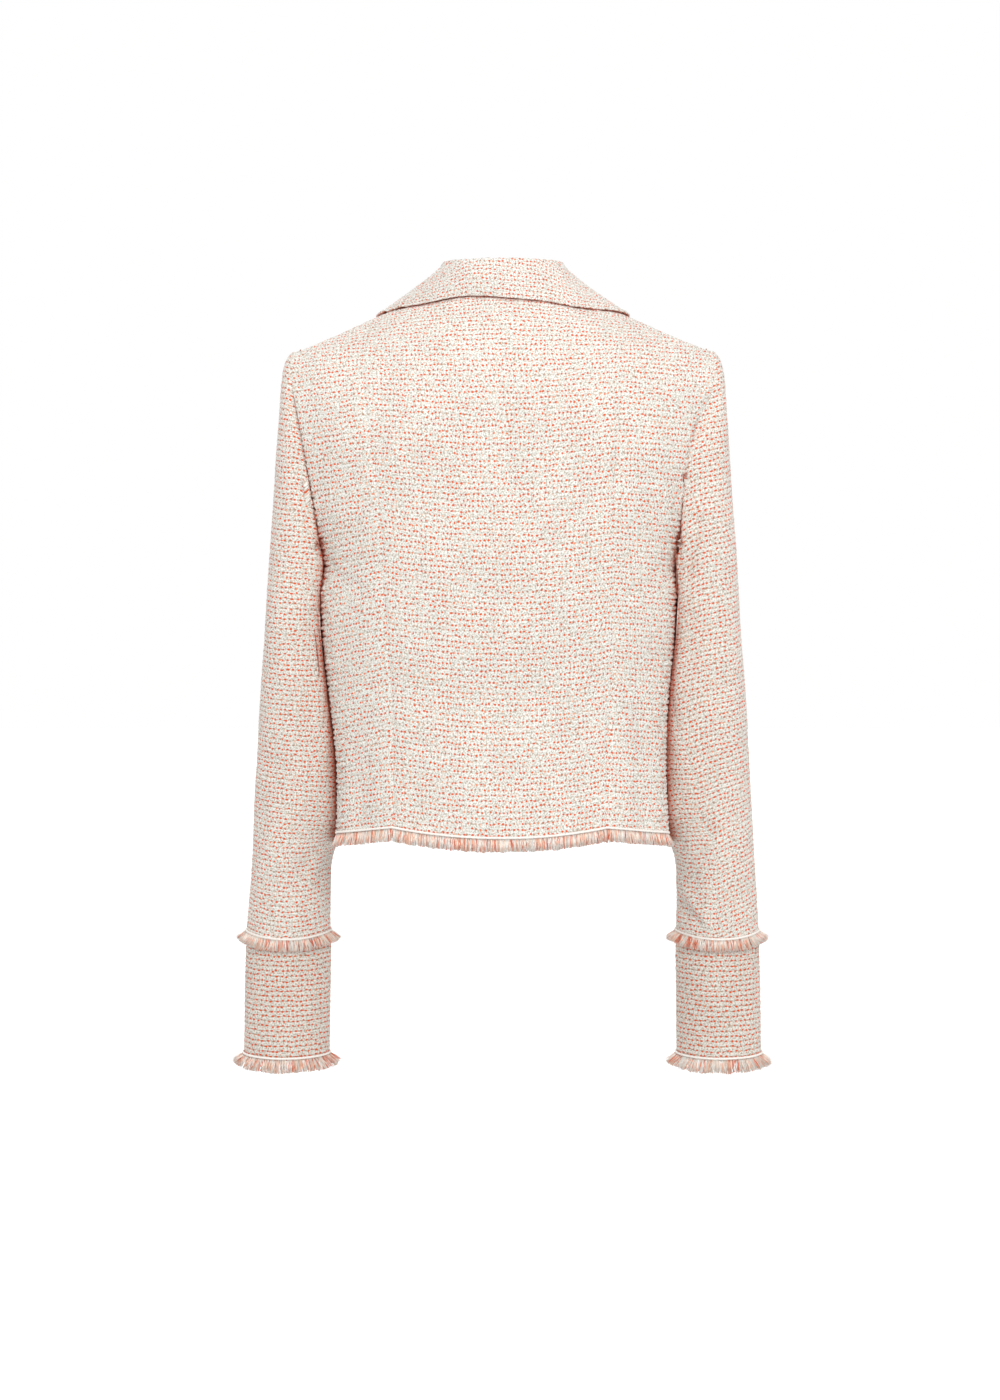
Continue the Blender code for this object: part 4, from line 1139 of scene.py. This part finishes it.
def tweed(name, shade, depth, spacing=1.0):
    """Cream ribs of looped yarn with coral yarn in their hollows.

    Shade multiplies red, green and blue: the cloth's own tint, and on the cuffs painted shade as well.
    Depth strengthens the painted shade along the hollows and the coral yarn that shows in them, and
    spacing widens the coral yarn's places along a rib."""
    s = Shader(name, roughness=0.95, sheen=0.15)
    weave = s.node("UVMap", uv_map="weave")
    across, up, _ = s.split(weave)
    across = across + s.noise(weave, 0.12, 2.0).times(1.8, -0.9)
    up = up + s.noise(s.vector(across, up, 8.0), 0.4, 2.0).times(0.36, -0.18)
    hollow, picked, pick = dots(s, across * (1 / spacing), up + 0.5, 3.0, 0.20, 0.20)
    strong = picked + (0.12 * depth - 0.08)
    dash, dash_strong, _ = dots(s, across * 1.3, up, 11.0, 0.22, 0.11)
    loops = s.noise(s.vector(across * 2.6, up * 3.2, 4.0), 1.0, 1.0)
    fuzz = s.noise(s.vector(across, up * 1.3, 6.0), 6.5, 1.0)
    patch = s.noise(s.vector(across, up, 2.0), 0.16, 1.0)
    fibre = loops * 0.62 + fuzz * 0.38
    # The loops' cream, with painted shade (partly the yarn's own beige) where the fibre noise is low.
    ground = s.mix(s.ramp(fibre, 0.37, 0.56), SHADED_CREAM, CREAM)
    ground = s.mix(dash * s.ramp(dash_strong, 0.15, 0.8, 0.0, 0.6), ground, SALMON)
    from_hollow = s.math("ABSOLUTE", s.math("FRACT", up + 0.5) - 0.5)
    # Painted shade: a dark line along each hollow between the ribs, broken by the loops, stronger with
    # depth.
    line = s.ramp(from_hollow, 0.22, 0.04) * s.ramp(loops, 0.62, 0.36, 0.35, 0.95)
    ground = s.mix(line * min(0.16 * depth ** 2, 0.8), ground, HOLLOW_SHADE)
    weak = s.mix(s.math("LESS_THAN", pick, 0.45), SALMON, BROWN_PINK)
    yarn = s.mix(s.ramp(strong, 0.15, 0.5), weak, CORAL)
    colour = s.mix(hollow * s.ramp(strong, -0.05, 0.3, 0.2, 1.0), ground, yarn)
    tone = s.ramp(patch, 0.3, 0.7, 0.97, 1.02)
    colour = s.mix(1.0, colour, s.vector(*(tone * part for part in shade)), "MULTIPLY")
    # Painted shade: where the ambient occlusion finds the place closed in, the colour is multiplied
    # darker and redder.
    open_air = s.node("AmbientOcclusion", {"Distance": PAINTED_SHADE_REACH}, 1, samples=PAINTED_SHADE_RAYS)
    colour = s.mix(s.ramp(open_air, *PAINTED_SHADE_OPEN), colour, PAINTED_CREVICE_SHADE, "MULTIPLY")
    height = fibre.times(1.0, s.ramp(from_hollow, 0.0, 0.36) * 0.2) + hollow * -0.25
    return s.finish(colour, height, 0.8, 0.0007)


def braid_yarn():
    s = Shader("cream_braid", roughness=0.85, sheen=0.2)
    yarn = s.node("UVMap", uv_map="yarn")
    fibre = s.noise(s.node("Mapping", {"Vector": yarn, "Scale": (1.4, 2.0, 1.0)}), 1.0, 3.0)
    colour = s.mix(s.ramp(fibre, 0.3, 0.7), linear(236, 228, 218), linear(255, 254, 250))
    return s.finish(colour, fibre, 0.6, 0.0003)


def fringe_yarn():
    s = Shader("fringe_yarn", roughness=0.9, sheen=0.7)
    pick, along, _ = s.split(s.node("UVMap", uv_map="yarn"))
    fibre = s.noise(s.vector(pick * 900, along * 9.0), 1.0, 2.0)
    # Painted shade: each strand darkens towards its root, under the braid; the fibre noise is the yarn's
    # own tone.
    shade = s.ramp(fibre, 0.25, 0.75, 0.92, 1.05) * s.ramp(along, 0.0, 0.25, 0.76, 1.0)
    colour = s.colours(pick, FRINGE_COLOURS, "CONSTANT")
    return s.finish(s.mix(1.0, colour, s.vector(shade, shade, shade), "MULTIPLY"), fibre, 0.5, 0.0002)


def resin():
    s = Shader("button_resin", roughness=0.28, sheen=0.0, specular=0.5)
    cloud = s.noise(s.node("TexCoord", output=3), 160.0, 3.0)
    colour = s.mix(s.ramp(cloud, 0.35, 0.65), linear(214, 190, 172), linear(238, 222, 206))
    return s.finish(colour, cloud, 0.05, 0.0002)


# ---- jacket
def button(node, material):
    """A dished resin disc with a rounded rim, on the node's own axis."""
    low, high = (np.array(corner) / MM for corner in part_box(node))
    centre = (low + high) / 2
    spread = np.array([vertex.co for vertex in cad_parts[node].data.vertices]) / MM - centre
    axis = np.linalg.svd(spread - spread.mean(axis=0))[2][-1]
    axis = axis if axis[1] < 0 else -axis
    level = unit(np.cross(axis, [0, 0, 1.0]))
    angle = np.arange(BUTTON_SIDES)[:, None] * 2 * np.pi / BUTTON_SIDES
    around = level * np.cos(angle) + np.cross(level, axis) * np.sin(angle)
    rings = [centre + around * reach * BUTTON_RADIUS + axis * (rise - 0.5) * BUTTON_THICK
             for reach, rise in BUTTON_PROFILE]
    points = np.concatenate([rings[0][:1], *rings[1:-1], rings[-1][:1]])
    faces = (tube_faces(len(rings) - 2, BUTTON_SIDES) + 1).tolist()
    for k in range(BUTTON_SIDES):
        n = (k + 1) % BUTTON_SIDES
        last = len(points) - 1 - BUTTON_SIDES
        faces += [(0, 1 + k, 1 + n), (last + k, len(points) - 1, last + n)]
    piece = write_mesh(f"resin_{node}", points, faces, {}, material)
    return place(fix_winding(piece), "button", node)


def columns_for(part):
    return int(WIDTHS[part] / FACET) + 1


def tilted(side, surface, slopes):
    """How much higher the ribs lie in each column, by its distance from the body."""
    gap = np.abs(surface[FINE_ROWS // 2, :, 0]) - SLEEVE[SIDE_NAMES[side]][ELBOW]
    return slopes[0] * np.minimum(gap, SLOPE_TURN) + slopes[1] * np.maximum(gap - SLOPE_TURN, 0)


def trim(stem, tag, path, cut, start, yarns, closed, seed):
    braid, strands = yarns
    return (cord(f"{stem}_braid_{tag}", path, braid, closed),
            fringe(f"{stem}_fringe_{tag}", path, cut, start, strands, closed, seed))


def side_climb(side):
    """Distance up the back's long seam, read lower the farther out a point is, so the ribs droop."""
    def climb(points):
        x, z = np.abs(points[..., 0]), points[..., 2]
        seam = run_along(points[:, :1])[:, 0]
        slope = (seam[-1] - seam[0]) / (z[-1, 0] - z[0, 0])
        level = z + read(SIDE_DROOP, side, z) * (x - x[:, :1])
        up = np.interp(level, z[:, 0], seam)
        over = np.maximum(level - z[-1, 0], 0) + np.minimum(level - z[0, 0], 0)
        return np.maximum.accumulate(up + over * slope, axis=0)
    return climb


def lapel_climb(points):
    """Distance up the lapel's fold, so that its ribs run square to the fold."""
    up = unit(np.array([NECK_HALF + OVERLAP, NECK_Z - BREAK_Z]))
    along = stack(np.abs(points[..., 0]), points[..., 2]) @ up
    return np.maximum.accumulate(along - along[0], axis=0)


def build_jacket():
    body = tweed("tweed_body", (0.982, 0.98, 0.978), 1.1), "body_tweed"
    sleeve_tweed = tweed("tweed_sleeve", (0.985, 0.965, 0.957), 1.9, 1.15), "sleeve_tweed"
    # The cuffs' shade darkens them as painted shade for the light falling off towards the bottom, with a
    # slight tint of their own; the other pieces' shades are the cloth's own tints.
    cuff_tweed = tweed("tweed_cuff", (0.905, 0.87, 0.85), 3.0, 1.25), "sleeve_tweed"
    collar_tweed = tweed("tweed_collar", (0.98, 0.98, 0.983), 1.0), "collar_tweed"
    yarns = braid_yarn(), fringe_yarn()
    button_material = resin()

    centre = cloth("back_centre", centre_surface(columns_for("centre")), *body,
                   "seam turned pressed pressed", "body")
    sides, fronts = {}, {}
    for tag, side in SIDES.items():
        surface = side_surface("back", side, columns_for("side"), *back_seam_edge(side))
        sides[tag] = cloth(f"back_side_{tag}", surface, *body, "seam turned pressed armhole", "body",
                           climb=side_climb(side), reference=0)
        fronts[tag] = cloth(f"front_{tag}", front_surface(side, columns_for("front")), *body,
                            "seam turned turned armhole", "body", reference=1)
    back_edge = np.concatenate([sides["r"]["edge"][::-1], centre["edge"][1:-1], sides["l"]["edge"]])
    declare(centre,
            trim("hem", "back", back_edge, HEM_CUT, ROOT_IN, yarns, False, 1))
    for k, (tag, side) in enumerate(SIDES.items()):
        declare(sides[tag])
        edge = fronts[tag]["edge"]
        if side > 0:
            edge = edge[edge[:, 0] > TRIM_FROM]
        declare(fronts[tag],
                trim("hem", tag, edge, HEM_CUT, ROOT_IN, yarns, False, 2 + k))

        lapel = cloth(f"lapel_{tag}", lapel_surface(side, columns_for("lapel")), *collar_tweed,
                      "narrow narrow folded narrow", rib=COLLAR_RIB, climb=lapel_climb)
        declare(lapel)

        sleeve = []
        for name, reference in ("top", 0.6), ("under", 0):
            surface = sleeve_surface(side, name == "top", columns_for(name))
            sleeve.append(cloth(
                f"{name}_sleeve_{tag}", surface, *sleeve_tweed, "tucked turned soft soft", "sleeve",
                SLEEVE_RIB, tilt=tilted(side, surface, SLEEVE_SLOPES[tag]), reference=reference,
                more_nodes=[f"top_sleeve_lower_{tag}"] if name == "top" else []))
        top, under = sleeve
        ring = np.concatenate([top["edge"][:-1], under["edge"][:-1]])
        declare(top,
                trim("sleeve", tag, ring, SLEEVE_CUT, ROOT_OUT, yarns, True, 10 + k))
        declare(under)

        cuff = cloth(f"cuff_{tag}", cuff_surface(side, columns_for("cuff")), *cuff_tweed,
                     "turned turned seam seam", "cuff", SLEEVE_RIB, closed=True)
        declare(cuff,
                trim("cuff", tag, cuff["edge"][:-1], CUFF_CUT, ROOT_IN, yarns, True, 20 + k))

    collar = cloth("collar", collar_surface(2 * (columns_for("collar") // 2) + 1), *collar_tweed,
                   "seam looped turned turned", rib=COLLAR_RIB, facing=collar_facing)
    declare(collar)
    for number in (1, 2, 3):
        button(f"button_{number}", button_material)


# ---- stage
FLOOR_Z = -1.4
FLOOR_BASE = 0.5
FLOOR_GLOW = 0.80       # lifts the floor to the backdrop's white
FLOOR_HALF = 20.0
WHITE = (1.0, 1.0, 1.0, 1.0)
SKY = ((-1.0, 0.70), (-0.6, 0.75), (-0.08, 1.0), (0.25, 1.0), (0.7, 0.8), (1.0, 0.7))
CAMERA_PLACE = (0.0027, 3.0, -0.238)
CAMERA_AIM = (0.0027, 0.0, -0.3636)
VIEW_TALL = 1.26        # metres of the picture's height at the jacket's middle plane
SENSOR = 36.0
LIGHTS = (              # name, place, size and power
    ("key", (-0.45, 2.5, 1.05), 1.3, 30.0),
    ("front", (0.5, -2.5, 0.9), 1.3, 24.0),
    ("top", (0.1, 0.5, 1.6), 0.9, 3.5))
LIGHTS_AIM = (0, 0, -0.3)


def aim(item, start, target):
    item.location = start
    item.rotation_euler = (Vector(target) - Vector(start)).to_track_quat("-Z", "Y").to_euler()


def add_stage():
    scene = bpy.context.scene
    camera = scene.camera = add_object("camera", bpy.data.cameras.new("camera"))
    camera.data.sensor_width = SENSOR
    camera.data.lens = SENSOR * CAMERA_PLACE[1] / VIEW_TALL
    aim(camera, CAMERA_PLACE, CAMERA_AIM)
    for name, start, size, power in LIGHTS:
        data = bpy.data.lights.new(name, "AREA")
        data.shape, data.size, data.energy = "DISK", size, power
        aim(add_object(name, data), start, LIGHTS_AIM)

    scene.world = bpy.data.worlds.new("studio")
    scene.view_settings.view_transform = "Standard"
    sky = Nodes(scene.world)
    half_up = sky.split(sky.node("TexCoord"))[2].times(0.5, 0.5)
    whites = [((height + 1) / 2, (white, white, white, 1.0)) for height, white in SKY]
    sky.join(sky.tree.nodes["Background"].inputs, {"Color": sky.colours(half_up, whites, "LINEAR")})

    s = Shader("pale_floor", roughness=0.8, sheen=0.0, specular=0.2)
    s.surface({"Base Color": (FLOOR_BASE, FLOOR_BASE, FLOOR_BASE, 1), "Emission Color": WHITE,
               "Emission Strength": FLOOR_GLOW})
    corners = np.array([(-1, -1), (1, -1), (1, 1), (-1, 1)]) * FLOOR_HALF
    corners = np.insert(corners, 2, FLOOR_Z, axis=1) / MM
    floor = write_mesh("floor", corners, [(0, 1, 2, 3)], {}, s.material)
    floor.visible_diffuse = False       # the jacket's light comes from the lamps and the sky alone
    floor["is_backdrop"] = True


build_jacket()
add_stage()
[[list(corner) for corner in box] for box in (CAD_BOX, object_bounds())]
